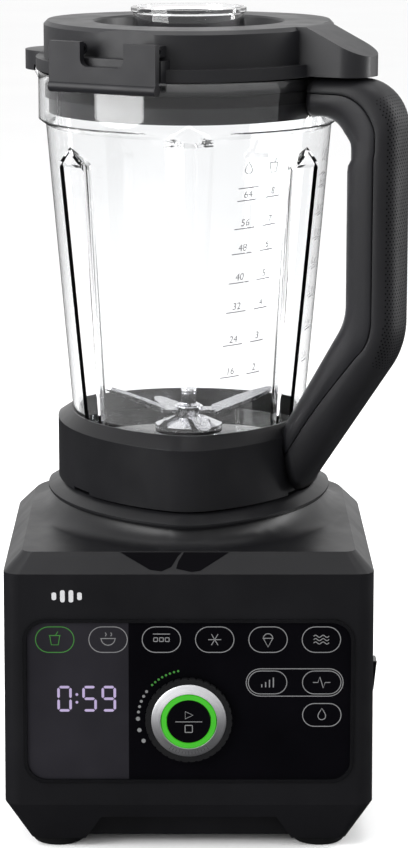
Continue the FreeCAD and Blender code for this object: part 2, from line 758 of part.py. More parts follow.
def rib_wedge(phi, grow):
    """Vee-shaped rib pressed into the jug wall, with an arrow-shaped upper end."""
    low_z, shoulder_z, peak_z = 196.0, 352.0 + grow, 361.0 + 1.5 * grow
    stand_out = 3.0

    def section(z, half, depth):
        surface = jug_shape(z)[1]
        spread = (half + grow) * (1 + stand_out / depth)
        tip = surface - depth - 1.4 * grow
        return [polar(surface + stand_out, phi, z, -spread), polar(surface + stand_out, phi, z, spread),
                polar(tip, phi, z)]

    low = section(low_z, 6.0, 8.0)
    high = section(shoulder_z, 14.0, 10.5)
    peak = polar(jug_shape(peak_z)[1] + stand_out, phi, peak_z + 3)
    faces = [low, [low[0], low[1], high[1], high[0]], [low[1], low[2], high[2], high[1]],
             [low[2], low[0], high[0], high[2]], [high[0], high[1], peak],
             [high[1], high[2], peak], [high[2], high[0], peak]]
    flats = []
    for corners in faces:
        if len(corners) == 4:
            flats.append([corners[0], corners[1], corners[2]])
            flats.append([corners[0], corners[2], corners[3]])
        else:
            flats.append(corners)
    shell = Part.Shell([Part.Face(Part.makePolygon(c + [c[0]])) for c in flats])
    solid = Part.Solid(shell)
    if solid.Volume < 0:
        solid.reverse()
    return solid


def make_jug():
    inside = jug_outer(-WALL, JUG_INSIDE)
    for phi in RIB_PHIS:
        inside = inside.cut(rib_wedge(phi, WALL))
    inside = inside.fuse(spout_horn(-WALL))
    outside = jug_outer().fuse(spout_horn(0))
    top_trim = rod(120, NECK_TOP, NECK_TOP + 20)
    jug = outside.cut(inside).cut(top_trim)
    for phi in RIB_PHIS:
        jug = jug.cut(rib_wedge(phi, 0))
    return jug.cut(rod(STEM_R, JUG_FLOOR - 1, JUG_INSIDE + 1))


def collar_outer():
    rim = soft_triangle(jug_shape(COLLAR_TOP), COLLAR_TOP, 1.0)
    body = soft_prism(COLLAR, COLLAR_LOW, COLLAR_EDGE)
    return body.fuse(loft([soft_triangle(COLLAR, COLLAR_EDGE), rim]))


def make_jug_collar():
    collar = collar_outer().cut(jug_outer())
    collar = collar.cut(soft_prism(COLLAR, COLLAR_LOW - 1, WEB_LOW, -WALL))
    collar = collar.cut(rod(STEM_R, WEB_LOW - 1, JUG_FLOOR + 1))
    for phi in RIB_PHIS:
        collar = collar.cut(radial_box(58, 80, 8.5, COLLAR_LOW - 1, COLLAR_LOW + 1.5, phi))
    for side in HANDLE_SCREW_SIDES:
        collar = collar.cut(radial_rod(1.6, 50, 70, HANDLE_SCREW_Z, HANDLE_PHI, side))
    return collar


def handle_slab(corners, first, last, rounding):
    """Slab in the handle plane from (reach, height, corner radius) corners.

    The long edges from corner first to corner last are rounded on both sides.
    """
    across = polar(0, HANDLE_PHI, 0, 2 * GRIP_HALF)

    def place(flat):
        return polar(flat.x, HANDLE_PHI, flat.y, -GRIP_HALF)

    count = len(corners)
    points = [V(reach, height, 0) for reach, height, _ in corners]
    starts, middles, ends = [], [], []
    for k, (_, _, radius) in enumerate(corners):
        back = (points[k - 1] - points[k]).normalize()
        ahead = (points[(k + 1) % count] - points[k]).normalize()
        half_turn = back.getAngle(ahead) / 2
        reach = radius / math.tan(half_turn)
        starts.append(points[k] + back * reach)
        ends.append(points[k] + ahead * reach)
        inward = (back + ahead).normalize()
        middles.append(points[k] + inward * (radius / math.sin(half_turn) - radius))
    edges, soft = [], []
    for k in range(count):
        if corners[k][2] > 0:
            arc = Part.Arc(place(starts[k]), place(middles[k]), place(ends[k])).toShape()
            edges.append(arc)
            if first < k < last:
                soft.append(arc)
        line = Part.LineSegment(place(ends[k]), place(starts[(k + 1) % count])).toShape()
        edges.append(line)
        if first <= k < last:
            soft.append(line)
    slab = Part.Face(Part.Wire(edges)).extrude(across)

    def middle(edge):
        return edge.valueAt((edge.FirstParameter + edge.LastParameter) / 2)

    targets = [middle(edge) + shift for edge in soft for shift in (V(0, 0, 0), across)]
    chosen = [e for e in slab.Edges if any((middle(e) - t).Length < 0.01 for t in targets)]
    return slab.makeFillet(rounding, chosen)


def make_handle_shell():
    """Inner half of the handle: carrier moulded along the jug side."""
    corners = [(BAR_ROOT, BAR_LOW, 0), (GRIP_IN, BAR_LOW, 15), (GRIP_IN, BEND_Z, 30),
               (ROOT_IN, HANDLE_LOW + 4, 0), (ROOT_IN + 2, HANDLE_LOW, 0), (ROOT_SEAM, HANDLE_LOW, 0),
               (GRIP_SEAM, BEND_Z - 6, 40), (GRIP_SEAM, SEAM_TOP, 15), (BAR_ROOT, SEAM_TOP, 0)]
    return handle_slab(corners, 0, 3, 7.0)


def make_handle_grip():
    """Outer half of the handle: soft over-moulded grip."""
    corners = [(BAR_ROOT, SEAM_TOP, 0), (GRIP_SEAM, SEAM_TOP, 15), (GRIP_SEAM, BEND_Z - 6, 40),
               (ROOT_SEAM, HANDLE_LOW, 0), (ROOT_OUT, HANDLE_LOW, 3), (GRIP_OUT, BEND_Z - 14.5, 45),
               (GRIP_OUT, HANDLE_TOP, 25), (BAR_ROOT, HANDLE_TOP, 0)]
    return handle_slab(corners, 4, 7, 7.0)


def trimmed_handle(shape):
    shape = shape.cut(jug_outer()).cut(collar_outer())
    shape = max(shape.Solids, key=lambda solid: solid.Volume)
    for side in HANDLE_SCREW_SIDES:
        shape = shape.cut(radial_rod(1.6, 50, 72, HANDLE_SCREW_Z, HANDLE_PHI, side))
    return shape


def make_handle_screws():
    screws = []
    for side in HANDLE_SCREW_SIDES:
        head = radial_rod(3.0, 57.5, 59.5, HANDLE_SCREW_Z, HANDLE_PHI, side)
        screws.append(head.fuse(radial_rod(1.5, 57.5, 71, HANDLE_SCREW_Z, HANDLE_PHI, side)))
    return Part.makeCompound(screws)


def make_bearing_housing():
    profile = [(BEARING_R, 193), (STEM_R, 193), (STEM_R, 208), (18, 208), (18, 210), (8, 214),
               (5.4, 214), (5.4, 212.5), (7.5, 212.5), (7.5, 209.5), (BEARING_R, 209.5)]
    return spun(profile)


def make_blade_bearings():
    lower = tube(BEARING_R, 5 + SHAFT_GAP, 194, 200)
    return Part.makeCompound([lower, tube(BEARING_R, 5 + SHAFT_GAP, 203, 209)])


def make_shaft_seal():
    return tube(7.5, 5 + SHAFT_GAP, 209.5, 212.5)


def make_blade_gasket():
    return tube(18, STEM_R, JUG_INSIDE, 208)


def make_retaining_nut():
    nut = hexagon(40, WEB_LOW - 6, WEB_LOW)
    return nut.cut(rod(STEM_R, 0, 300))


# ---------------------------------------------------------------------------
# Blade set
# ---------------------------------------------------------------------------
def make_blade_shaft():
    shaft = rod(5, COUPLING_TOP + 1, LOWER_BLADE_Z).fuse(rod(SHAFT_TIP_R, LOWER_BLADE_Z, NUT_Z))
    return shaft.fuse(rod(STUD_R, NUT_Z, STUD_TOP))


def blade_arm(phi, root, length, width, bend, twist, z):
    """Sharpened arm bent at the end of its root and twisted about its length."""
    bite = 0.6
    arm = polygon_prism([V(a * width, -b * length, 0) for a, b in ARM_OUTLINE], V(0, 0, BLADE_T))
    arm.rotate(V(0, 0, 0), V(0, 1, 0), twist)
    arm.rotate(V(0, 0, 0), V(1, 0, 0), -bend)
    arm.translate(V(0, -root + bite, z))
    stem = box(-width / 2, width / 2, -root, 0, z, z + BLADE_T)
    arm = arm.fuse(stem)
    arm.rotate(V(0, 0, 0), V(0, 0, 1), phi)
    return arm


def finish_blade(arms, z):
    blade = rod(HUB_BLADE_R, z, z + BLADE_T)
    for arm in arms:
        blade = blade.fuse(arm)
    return blade.cut(rod(SHAFT_TIP_R, z - 5, z + 10))


def make_lower_blade():
    z = LOWER_BLADE_Z
    arms = [blade_arm(*arm, z) for arm in LOWER_ARMS]
    return finish_blade(arms, z)


def make_upper_blade():
    z = LOWER_BLADE_Z + BLADE_T
    arms = [blade_arm(*arm, z) for arm in UPPER_ARMS]
    return finish_blade(arms, z)


def make_blade_washer():
    return tube(HUB_BLADE_R, SHAFT_TIP_R, LOWER_BLADE_Z + 2 * BLADE_T, NUT_Z)


def make_cap_nut():
    shoulder = NUT_TOP - NUT_CROWN
    nut = hexagon(NUT_FLATS, NUT_Z, shoulder, 0)
    crown = rod(NUT_R - 0.6, shoulder - 0.2, NUT_TOP).fuse(rod(NUT_R, shoulder + 0.4, NUT_TOP))
    crown = crown.makeFillet(0.7, [e for e in crown.Edges if e.BoundBox.ZMin > NUT_TOP - 0.1])
    flange_z, flange_top = NUT_Z + NUT_FLANGE_T, NUT_Z + NUT_FLANGE_T + 1.0
    flange = spun([(0, NUT_Z), (NUT_FLANGE_R, NUT_Z), (NUT_FLANGE_R, flange_z),
                   (NUT_FLANGE_R - 2, flange_top), (0, flange_top)])
    return nut.fuse(crown).fuse(flange).cut(rod(STUD_R, NUT_Z - 1, STUD_TOP))


def make_driven_coupling():
    body = rod(16, COLLAR_LOW + 1.8, 192)
    cavity_top = COUPLING_TOP + 0.5
    socket = rod(9 + GAP, COLLAR_LOW, cavity_top)
    for k in range(SPLINES):
        tooth = radial_box(0, SPLINE_R + GAP, 1.6 + GAP, COLLAR_LOW, cavity_top, 360 * k / SPLINES)
        socket = socket.fuse(tooth)
    return body.cut(socket).cut(rod(5, COUPLING_TOP + 1, 200))


# ---------------------------------------------------------------------------
# Lid, latches and measuring cap
# ---------------------------------------------------------------------------
def latch_side(phi, side0, side1, r0, r1, z0, z1):
    middle, half = 0.5 * (side0 + side1), 0.5 * (side1 - side0)
    return radial_box(r0, r1, half, z0, z1, phi, middle)


def make_lid():
    lid = soft_prism(LID_FLANGE, LID_LOW, LID_LEDGE).fuse(soft_prism(LID_BODY, LID_LEDGE, LID_TOP - 2))
    lid = lid.fuse(loft([soft_triangle(LID_BODY, LID_TOP - 2), soft_triangle(LID_BODY, LID_TOP, -2)]))
    lid = lid.fuse(soft_prism(NECK, LID_SKIRT_LOW, LID_LOW, -WALL - 2.5))
    lid = lid.fuse(lid_spout_lip()).fuse(handle_cover())
    for phi in LATCH_PHIS:
        lid = lid.cut(radial_box(75.5, 100, LATCH_HALF + 0.8, LID_LEDGE, LID_TOP + 1, phi))
        lid = lid.fuse(radial_box(60, 82.4, LATCH_HALF, LID_LOW, 412.5, phi))
        for sign in (-1, 1):
            side0, side1 = sorted((sign * LUG[0], sign * LUG[1]))
            lug = latch_side(phi, side0, side1, 66, HINGE_R, HINGE_Z - KNUCKLE_R, HINGE_Z + KNUCKLE_R)
            lug = lug.fuse(tangent_rod(KNUCKLE_R, side0, side1, HINGE_R, HINGE_Z, phi))
            lid = lid.fuse(lug)
        lid = lid.cut(tangent_rod(PIN_R, -LUG[1] - 1, LUG[1] + 1, HINGE_R, HINGE_Z, phi))
    lid = lid.cut(spun([(0, DISH_Z), (46, DISH_Z), (FILLER_R, LID_TOP - 1), (FILLER_R + 1, LID_TOP),
                        (FILLER_R + 1, LID_TOP + 2), (0, LID_TOP + 2)]))
    pocket = soft_prism(LID_BODY, LID_LOW - 1, LID_TOP - WALL, -WALL - 4)
    pocket = pocket.cut(rod(FILLER_R + WALL, 0, 500))
    lid = lid.cut(pocket.common(rod(200, 405, LID_TOP - WALL)))
    lid = lid.cut(soft_prism(NECK, LID_SKIRT_LOW - 1, 406, -2 * WALL - 2.5))
    lid = lid.cut(rod(FILLER_R, 403, DISH_Z - WALL))
    lid = lid.fuse(tube(CAP_HOLE_R + WALL, CAP_HOLE_R, 400, DISH_Z))
    return lid.cut(rod(CAP_HOLE_R, 380, 440))


def lid_spout_lip():
    tongue = radial_box(60, 78, SPOUT_R + 2, LID_LOW, LID_LEDGE + 1, SPOUT_PHI)
    centre = polar(76.5, SPOUT_PHI)
    tongue = tongue.fuse(rod(SPOUT_R + 2.4, LID_LOW, LID_LEDGE + 1, centre.x, centre.y))
    apron = tube(SPOUT_R + 2.4, SPOUT_R + 0.8, 398.5, LID_LOW, centre.x, centre.y)
    return tongue.fuse(apron.common(radial_box(84, 110, 30, 390, 420, SPOUT_PHI)))


def handle_cover():
    """Wedge of the lid that reaches out over the top of the handle."""
    root, slope_start = 60, 78
    profile = [(root, COVER_LOW), (COVER_TIP, COVER_LOW), (COVER_TIP, COVER_EDGE),
               (slope_start, LID_TOP), (root, LID_TOP)]
    side = [polar(reach, HANDLE_PHI, z, -GRIP_HALF) for reach, z in profile]
    wedge = polygon_prism(side, polar(0, HANDLE_PHI, 0, 2 * GRIP_HALF))
    upright = [e for e in wedge.Edges if e.Length < COVER_ROUND
               and abs(e.BoundBox.ZMax - COVER_EDGE) < 0.1 and e.BoundBox.ZMin < COVER_LOW + 1]
    return wedge.makeFillet(COVER_ROUND, upright)


def make_lid_seal():
    ring = soft_prism(NECK, 388, 394, -WALL - 0.5)
    return ring.cut(soft_prism(NECK, 387, 395, -WALL - 2.5))


def make_latch_pins():
    pins = []
    for phi in LATCH_PHIS:
        for sign in (-1, 1):
            side0, side1 = sorted((sign * EAR[0], sign * LUG[1]))
            pins.append(tangent_rod(PIN_R, side0, side1, HINGE_R, HINGE_Z, phi))
    return Part.makeCompound(pins)


def make_latch(phi):
    plate = radial_box(LATCH_IN, LATCH_OUT, LATCH_HALF, LATCH_LOW + 2, LATCH_TOP, phi)
    lip = tangent_rod(3.0, -LATCH_HALF, LATCH_HALF, LATCH_IN + 2.2, LATCH_LOW + 3.0, phi)
    latch = plate.fuse(lip)
    cut_half, cut_low, cut_r = 12.8, 408.5, 4.0
    notch = radial_box(LATCH_IN - 2, LATCH_OUT + 4, cut_half, cut_low + cut_r, LATCH_TOP + 1, phi)
    notch = notch.fuse(radial_box(LATCH_IN - 2, LATCH_OUT + 4, cut_half - cut_r, cut_low, LATCH_TOP, phi))
    for side in (-cut_half + cut_r, cut_half - cut_r):
        notch = notch.fuse(radial_rod(cut_r, LATCH_IN - 2, LATCH_OUT + 4, cut_low + cut_r, phi, side))
    latch = latch.cut(notch)
    for sign in (-1, 1):
        side0, side1 = sorted((sign * EAR[0], sign * EAR[1]))
        ear = latch_side(phi, side0, side1, HINGE_R, LATCH_IN + 1, HINGE_Z - KNUCKLE_R, HINGE_Z + KNUCKLE_R)
        latch = latch.fuse(ear).fuse(tangent_rod(KNUCKLE_R, side0, side1, HINGE_R, HINGE_Z, phi))
    return latch.cut(tangent_rod(PIN_R + SHAFT_GAP, -40, 40, HINGE_R, HINGE_Z, phi))


def make_measuring_cap():
    low_r, wall = 28.0, 2.2
    profile = [(0, CAP_LOW), (low_r, CAP_LOW), (low_r + 1.8, DISH_Z + 0.4), (35.5, DISH_Z + 0.4),
               (35.5, DISH_Z + 2.6), (low_r + 2.0, DISH_Z + 2.6), (CAP_R - 1.2, CAP_TOP - 3),
               (CAP_R, CAP_TOP - 2), (CAP_R, CAP_TOP), (CAP_R - wall - 0.6, CAP_TOP),
               (low_r - wall, CAP_LOW + wall), (0, CAP_LOW + wall)]
    return spun(profile)


# ---------------------------------------------------------------------------
# Build every node
# ---------------------------------------------------------------------------
def main():
    os.makedirs("parts", exist_ok=True)
    nodes = {
        "bottom_tray": make_bottom_tray, "main_housing": make_main_housing,
        "top_cover": make_top_cover, "rubber_feet": make_rubber_feet,
        "base_screws": make_base_screws, "jug_seat_pad": make_seat_pad,
        "splash_seal": make_splash_seal, "panel_bezel": make_panel_bezel,
        "control_panel": make_control_panel, "display_module": make_display_module,
        "control_board": make_control_board, "light_ring": make_light_ring,
        "dial_encoder": make_dial_encoder, "start_switch": make_start_switch,
        "dial_hub": make_dial_hub, "dial_ring": make_dial_ring, "dial_grip": make_dial_grip,
        "start_button": make_start_button, "switch_housing": make_switch_housing,
        "power_rocker": make_power_rocker, "cord_inlet": make_cord_inlet,
        "power_board": make_power_board, "motor_stator": make_motor_stator,
        "field_windings": make_field_windings, "upper_bracket": make_upper_bracket,
        "lower_bracket": make_lower_bracket,
        "upper_bearing": lambda: make_motor_bearing(UPPER_BEARING_Z),
        "lower_bearing": lambda: make_motor_bearing(LOWER_BEARING_Z),
        "motor_mounts": make_motor_mounts, "brush_holders": make_brush_holders,
        "carbon_brushes": make_carbon_brushes, "air_duct": make_air_duct,
        "motor_shaft": make_motor_shaft, "rotor_core": make_rotor_core,
        "commutator": make_commutator, "cooling_fan": make_cooling_fan,
        "drive_coupling": make_drive_coupling, "jug": make_jug, "jug_collar": make_jug_collar,
        "handle_shell": lambda: trimmed_handle(make_handle_shell()),
        "handle_grip": lambda: trimmed_handle(make_handle_grip()),
        "handle_screws": make_handle_screws, "bearing_housing": make_bearing_housing,
        "blade_bearings": make_blade_bearings, "shaft_seal": make_shaft_seal,
        "blade_gasket": make_blade_gasket, "retaining_nut": make_retaining_nut,
        "blade_shaft": make_blade_shaft, "lower_blade": make_lower_blade,
        "upper_blade": make_upper_blade, "blade_washer": make_blade_washer,
        "cap_nut": make_cap_nut, "driven_coupling": make_driven_coupling,
        "lid": make_lid, "lid_seal": make_lid_seal, "latch_pins": make_latch_pins,
        "front_latch": lambda: make_latch(LATCH_PHIS[0]),
        "rear_latch": lambda: make_latch(LATCH_PHIS[1]),
        "measuring_cap": make_measuring_cap,
    }
    for name, make in nodes.items():
        export(name, make())


main()
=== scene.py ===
import math
import bmesh
import bpy
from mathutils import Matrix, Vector


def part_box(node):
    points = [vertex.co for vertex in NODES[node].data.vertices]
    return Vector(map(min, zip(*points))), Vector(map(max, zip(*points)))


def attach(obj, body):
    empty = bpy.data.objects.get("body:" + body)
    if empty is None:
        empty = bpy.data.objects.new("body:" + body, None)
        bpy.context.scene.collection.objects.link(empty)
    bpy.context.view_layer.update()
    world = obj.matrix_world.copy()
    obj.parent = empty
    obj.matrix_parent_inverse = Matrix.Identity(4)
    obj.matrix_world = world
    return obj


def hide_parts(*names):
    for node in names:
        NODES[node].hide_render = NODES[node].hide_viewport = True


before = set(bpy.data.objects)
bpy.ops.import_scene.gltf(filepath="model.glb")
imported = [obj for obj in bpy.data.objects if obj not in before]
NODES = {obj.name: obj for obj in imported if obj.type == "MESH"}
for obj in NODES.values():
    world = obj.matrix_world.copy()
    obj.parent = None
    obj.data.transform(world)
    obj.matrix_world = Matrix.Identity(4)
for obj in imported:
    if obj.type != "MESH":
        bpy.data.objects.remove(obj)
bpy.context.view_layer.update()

# Countertop blender.  Metres, +Z up, origin on the floor on the jug's axis, panel towards -Y.
# A direction round the axis is an angle phi: 0 faces -Y, +90 faces +X.
MM = 0.001


def corners(node):
    low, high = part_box(node)
    return Vector(low), Vector(high)


def centre(node):
    low, high = corners(node)
    return (low + high) / 2


def polar(reach, phi, z=0.0, side=0.0):
    """Point at a reach from the axis in direction phi, moved sideways; millimetres in, metres out."""
    a = math.radians(phi)
    return Vector(((reach * math.sin(a) + side * math.cos(a)) * MM,
                   (-reach * math.cos(a) + side * math.sin(a)) * MM, z * MM))


# ---------------------------------------------------------------------------
# Materials
# ---------------------------------------------------------------------------
def new_material(name):
    mat = bpy.data.materials.new(name)
    mat.use_nodes = True
    tree = mat.node_tree
    shader = tree.nodes["Principled BSDF"]
    coords = tree.nodes.new("ShaderNodeTexCoord")
    return mat, tree, shader, coords.outputs["Object"]


def noise(tree, coords, scale, detail=3.0, roughness=0.55, stretch=None):
    if stretch:
        mapping = tree.nodes.new("ShaderNodeMapping")
        mapping.inputs["Scale"].default_value = stretch
        tree.links.new(coords, mapping.inputs["Vector"])
        coords = mapping.outputs["Vector"]
    node = tree.nodes.new("ShaderNodeTexNoise")
    node.inputs["Scale"].default_value = scale
    node.inputs["Detail"].default_value = detail
    node.inputs["Roughness"].default_value = roughness
    tree.links.new(coords, node.inputs["Vector"])
    return node.outputs["Fac"]


def ramp(tree, fac, low, high, start=0.3, end=0.7):
    """Colour between low and high as fac goes from start to end."""
    node = tree.nodes.new("ShaderNodeValToRGB")
    node.color_ramp.elements[0].position = start
    node.color_ramp.elements[1].position = end
    node.color_ramp.elements[0].color = (*low, 1)
    node.color_ramp.elements[1].color = (*high, 1)
    tree.links.new(fac, node.inputs["Fac"])
    return node.outputs["Color"]


def spread(tree, fac, low, high):
    node = tree.nodes.new("ShaderNodeMapRange")
    node.inputs["From Min"].default_value = 0.3
    node.inputs["From Max"].default_value = 0.7
    node.inputs["To Min"].default_value = low
    node.inputs["To Max"].default_value = high
    tree.links.new(fac, node.inputs["Value"])
    return node.outputs["Result"]


def add_bump(tree, shader, height, strength, distance):
    node = tree.nodes.new("ShaderNodeBump")
    node.inputs["Strength"].default_value = strength
    node.inputs["Distance"].default_value = distance
    tree.links.new(height, node.inputs["Height"])
    tree.links.new(node.outputs["Normal"], shader.inputs["Normal"])


def scaled(colour, k):
    return tuple(min(1.0, c * k) for c in colour)


def plastic(name, colour, rough=0.45, grain=1400.0, bump=0.12, specular=0.5, coat=0.0, vary=0.18):
    """Moulded plastic: fine spark-eroded grain, slight cloudiness in colour and gloss."""
    mat, tree, shader, coords = new_material(name)
    cloud = noise(tree, coords, 22.0, 4.0)
    tree.links.new(ramp(tree, cloud, scaled(colour, 1 - vary), scaled(colour, 1 + vary)),
                   shader.inputs["Base Color"])
    tree.links.new(spread(tree, noise(tree, coords, 60.0), rough * 0.88, min(1, rough * 1.12)),
                   shader.inputs["Roughness"])
    add_bump(tree, shader, noise(tree, coords, grain, 2.0), bump, 0.00012)
    shader.inputs["Specular IOR Level"].default_value = specular
    shader.inputs["Coat Weight"].default_value = coat
    shader.inputs["Coat Roughness"].default_value = 0.06
    return mat


def metal(name, colour, rough=0.25, stretch=(1, 1, 1), grain=500.0, bump=0.08):
    """Metal with fine directional lines; stretch squeezes the pattern across the lines."""
    mat, tree, shader, coords = new_material(name)
    lines = noise(tree, coords, grain, 3.0, 0.6, stretch)
    tone = ramp(tree, lines, scaled(colour, 0.86), scaled(colour, 1.08))
    tree.links.new(tone, shader.inputs["Base Color"])
    tree.links.new(spread(tree, lines, rough * 0.75, rough * 1.3), shader.inputs["Roughness"])
    add_bump(tree, shader, lines, bump, 0.00005)
    shader.inputs["Metallic"].default_value = 1.0
    return mat


def clear_plastic(name, tint, rough=0.02, wave=0.03):
    """Thick clear moulding: full transmission, faint flow waviness."""
    mat, tree, shader, coords = new_material(name)
    flow = noise(tree, coords, 30.0, 2.0, 0.5, (1, 1, 0.35))
    tree.links.new(ramp(tree, flow, scaled(tint, 0.99), tint), shader.inputs["Base Color"])
    tree.links.new(spread(tree, noise(tree, coords, 90.0), rough * 0.6, rough * 1.6),
                   shader.inputs["Roughness"])
    if wave:
        add_bump(tree, shader, flow, wave, 0.0004)
    shader.inputs["Transmission Weight"].default_value = 1.0
    shader.inputs["IOR"].default_value = 1.49
    return mat


def spun_metal(name, colour, middle, rough=0.28):
    """Ring brushed round an axis along Y through middle."""
    mat, tree, shader, coords = new_material(name)
    shift = tree.nodes.new("ShaderNodeMapping")
    shift.inputs["Location"].default_value = (-middle.x, 0, -middle.z)
    tree.links.new(coords, shift.inputs["Vector"])
    parts = tree.nodes.new("ShaderNodeSeparateXYZ")
    tree.links.new(shift.outputs["Vector"], parts.inputs["Vector"])
    angle = tree.nodes.new("ShaderNodeMath")
    angle.operation = "ARCTAN2"
    tree.links.new(parts.outputs["Z"], angle.inputs[0])
    tree.links.new(parts.outputs["X"], angle.inputs[1])
    length = tree.nodes.new("ShaderNodeVectorMath")
    length.operation = "LENGTH"
    flat = tree.nodes.new("ShaderNodeCombineXYZ")
    tree.links.new(parts.outputs["X"], flat.inputs["X"])
    tree.links.new(parts.outputs["Z"], flat.inputs["Y"])
    tree.links.new(flat.outputs["Vector"], length.inputs[0])
    polar_coords = tree.nodes.new("ShaderNodeCombineXYZ")
    tree.links.new(angle.outputs["Value"], polar_coords.inputs["X"])
    tree.links.new(length.outputs["Value"], polar_coords.inputs["Y"])
    lines = noise(tree, polar_coords.outputs["Vector"], 1.0, 4.0, 0.7, (1.5, 9000, 1))
    tone = ramp(tree, lines, scaled(colour, 0.75), scaled(colour, 1.15))
    tree.links.new(tone, shader.inputs["Base Color"])
    tree.links.new(spread(tree, lines, rough * 0.8, rough * 1.25), shader.inputs["Roughness"])
    add_bump(tree, shader, lines, 0.25, 0.00004)
    shader.inputs["Metallic"].default_value = 1.0
    return mat


def glowing(name, colour, strength, body=(0.02, 0.02, 0.02)):
    """Lit print or light pipe, a little uneven along its length."""
    mat, tree, shader, coords = new_material(name)
    cloud = noise(tree, coords, 60.0, 2.0)
    tree.links.new(ramp(tree, cloud, scaled(colour, 0.9), colour), shader.inputs["Emission Color"])
    tree.links.new(ramp(tree, cloud, scaled(body, 0.8), body), shader.inputs["Base Color"])
    shader.inputs["Emission Strength"].default_value = strength
    shader.inputs["Roughness"].default_value = 0.35
    return mat


def print_ink(name, colour, rough=0.5):
    mat, tree, shader, coords = new_material(name)
    fleck = noise(tree, coords, 2500.0, 2.0)
    tree.links.new(ramp(tree, fleck, scaled(colour, 0.8), colour), shader.inputs["Base Color"])
    shader.inputs["Roughness"].default_value = rough
    shader.inputs["Specular IOR Level"].default_value = 0.2
    return mat


HOUSING = plastic("housing_satin", (0.0052, 0.0052, 0.0062), 0.40, 1500, 0.10, 0.12)
COVER = plastic("cover_satin", (0.0062, 0.0062, 0.0072), 0.36, 1500, 0.10, 0.24)
LID = plastic("lid_matte", (0.0085, 0.0085, 0.0100), 0.42, 1300, 0.16, 0.32)
LATCH = plastic("latch_matte", (0.0085, 0.0085, 0.0100), 0.40, 1300, 0.15, 0.20)
COLLAR = plastic("collar_satin", (0.0065, 0.0065, 0.0075), 0.33, 1500, 0.08, 0.22)
SHELL = plastic("handle_shell_matte", (0.0080, 0.0080, 0.0095), 0.40, 1300, 0.14, 0.20)
GRIP = plastic("handle_soft_touch", (0.0075, 0.0075, 0.0088), 0.50, 2600, 0.20, 0.22)
# Near-black colour of the grip's dimple discs: painted shade of the dimples' hollows
DIMPLE_SHADE = plastic("grip_dimple_shade", (0.0012, 0.0012, 0.0014), 0.7, 2600, 0.05, 0.05)
PANEL = plastic("panel_gloss", (0.0017, 0.0016, 0.0022), 0.10, 300, 0.01, 0.03)
WINDOW = plastic("display_window_tint", (0.0125, 0.0120, 0.0145), 0.12, 300, 0.01, 0.05)
BEZEL = plastic("bezel_gloss", (0.0030, 0.0030, 0.0036), 0.20, 1500, 0.03, 0.45)
GLOSS = plastic("gloss_black", (0.0030, 0.0030, 0.0036), 0.12, 900, 0.02, 0.30, coat=0.2)
RUBBER = plastic("rubber_black", (0.0045, 0.0045, 0.0050), 0.7, 1800, 0.35, 0.12)
DIAL_RUBBER = plastic("dial_rubber", (0.0045, 0.0045, 0.0052), 0.50, 1800, 0.25, 0.20)
SILICONE = plastic("silicone_dark", (0.05, 0.05, 0.053), 0.5, 900, 0.10, 0.4)
NYLON = plastic("nylon_natural", (0.62, 0.60, 0.54), 0.42, 700, 0.12, 0.5)
BOARD = plastic("circuit_board", (0.012, 0.10, 0.03), 0.35, 500, 0.10, 0.5)
CARBON = plastic("pressed_carbon", (0.02, 0.02, 0.021), 0.6, 2500, 0.4, 0.3)
GLASS = clear_plastic("jug_clear", (0.985, 0.99, 0.995), 0.012, 0.0)
CAP_CLEAR = clear_plastic("cap_clear", (0.99, 0.99, 0.995), 0.015, 0.05)
STEEL = metal("ground_steel", (0.60, 0.60, 0.62), 0.24, (1, 14, 1), 300, 0.10)
ZINC = metal("zinc_steel", (0.52, 0.53, 0.55), 0.38, (1, 1, 1), 900, 0.15)
CHROME = metal("polished_chrome", (0.78, 0.78, 0.80), 0.13, (1, 1, 1), 200, 0.02)
IRON = metal("lamination_iron", (0.20, 0.20, 0.22), 0.45, (1, 1, 60), 120, 0.3)
COPPER = metal("copper_winding", (0.62, 0.26, 0.12), 0.35, (1, 1, 60), 120, 0.4)
RING = spun_metal("brushed_ring", (0.72, 0.72, 0.74), centre("dial_ring"), 0.42)
GREEN_LIGHT = glowing("green_light_pipe", (0.040, 0.42, 0.012), 0.95, (0.01, 0.08, 0.005))
GREEN_PRINT = glowing("green_print", (0.03, 0.27, 0.015), 0.8)
GREY_PRINT = glowing("grey_print", (0.15, 0.15, 0.16), 0.6, (0.1, 0.1, 0.1))
DIGITS = glowing("display_digits", (0.52, 0.42, 0.68), 0.95)
MARK = print_ink("light_mark", (0.42, 0.42, 0.43))
SCALE_INK = print_ink("scale_ink", (0.16, 0.16, 0.17))

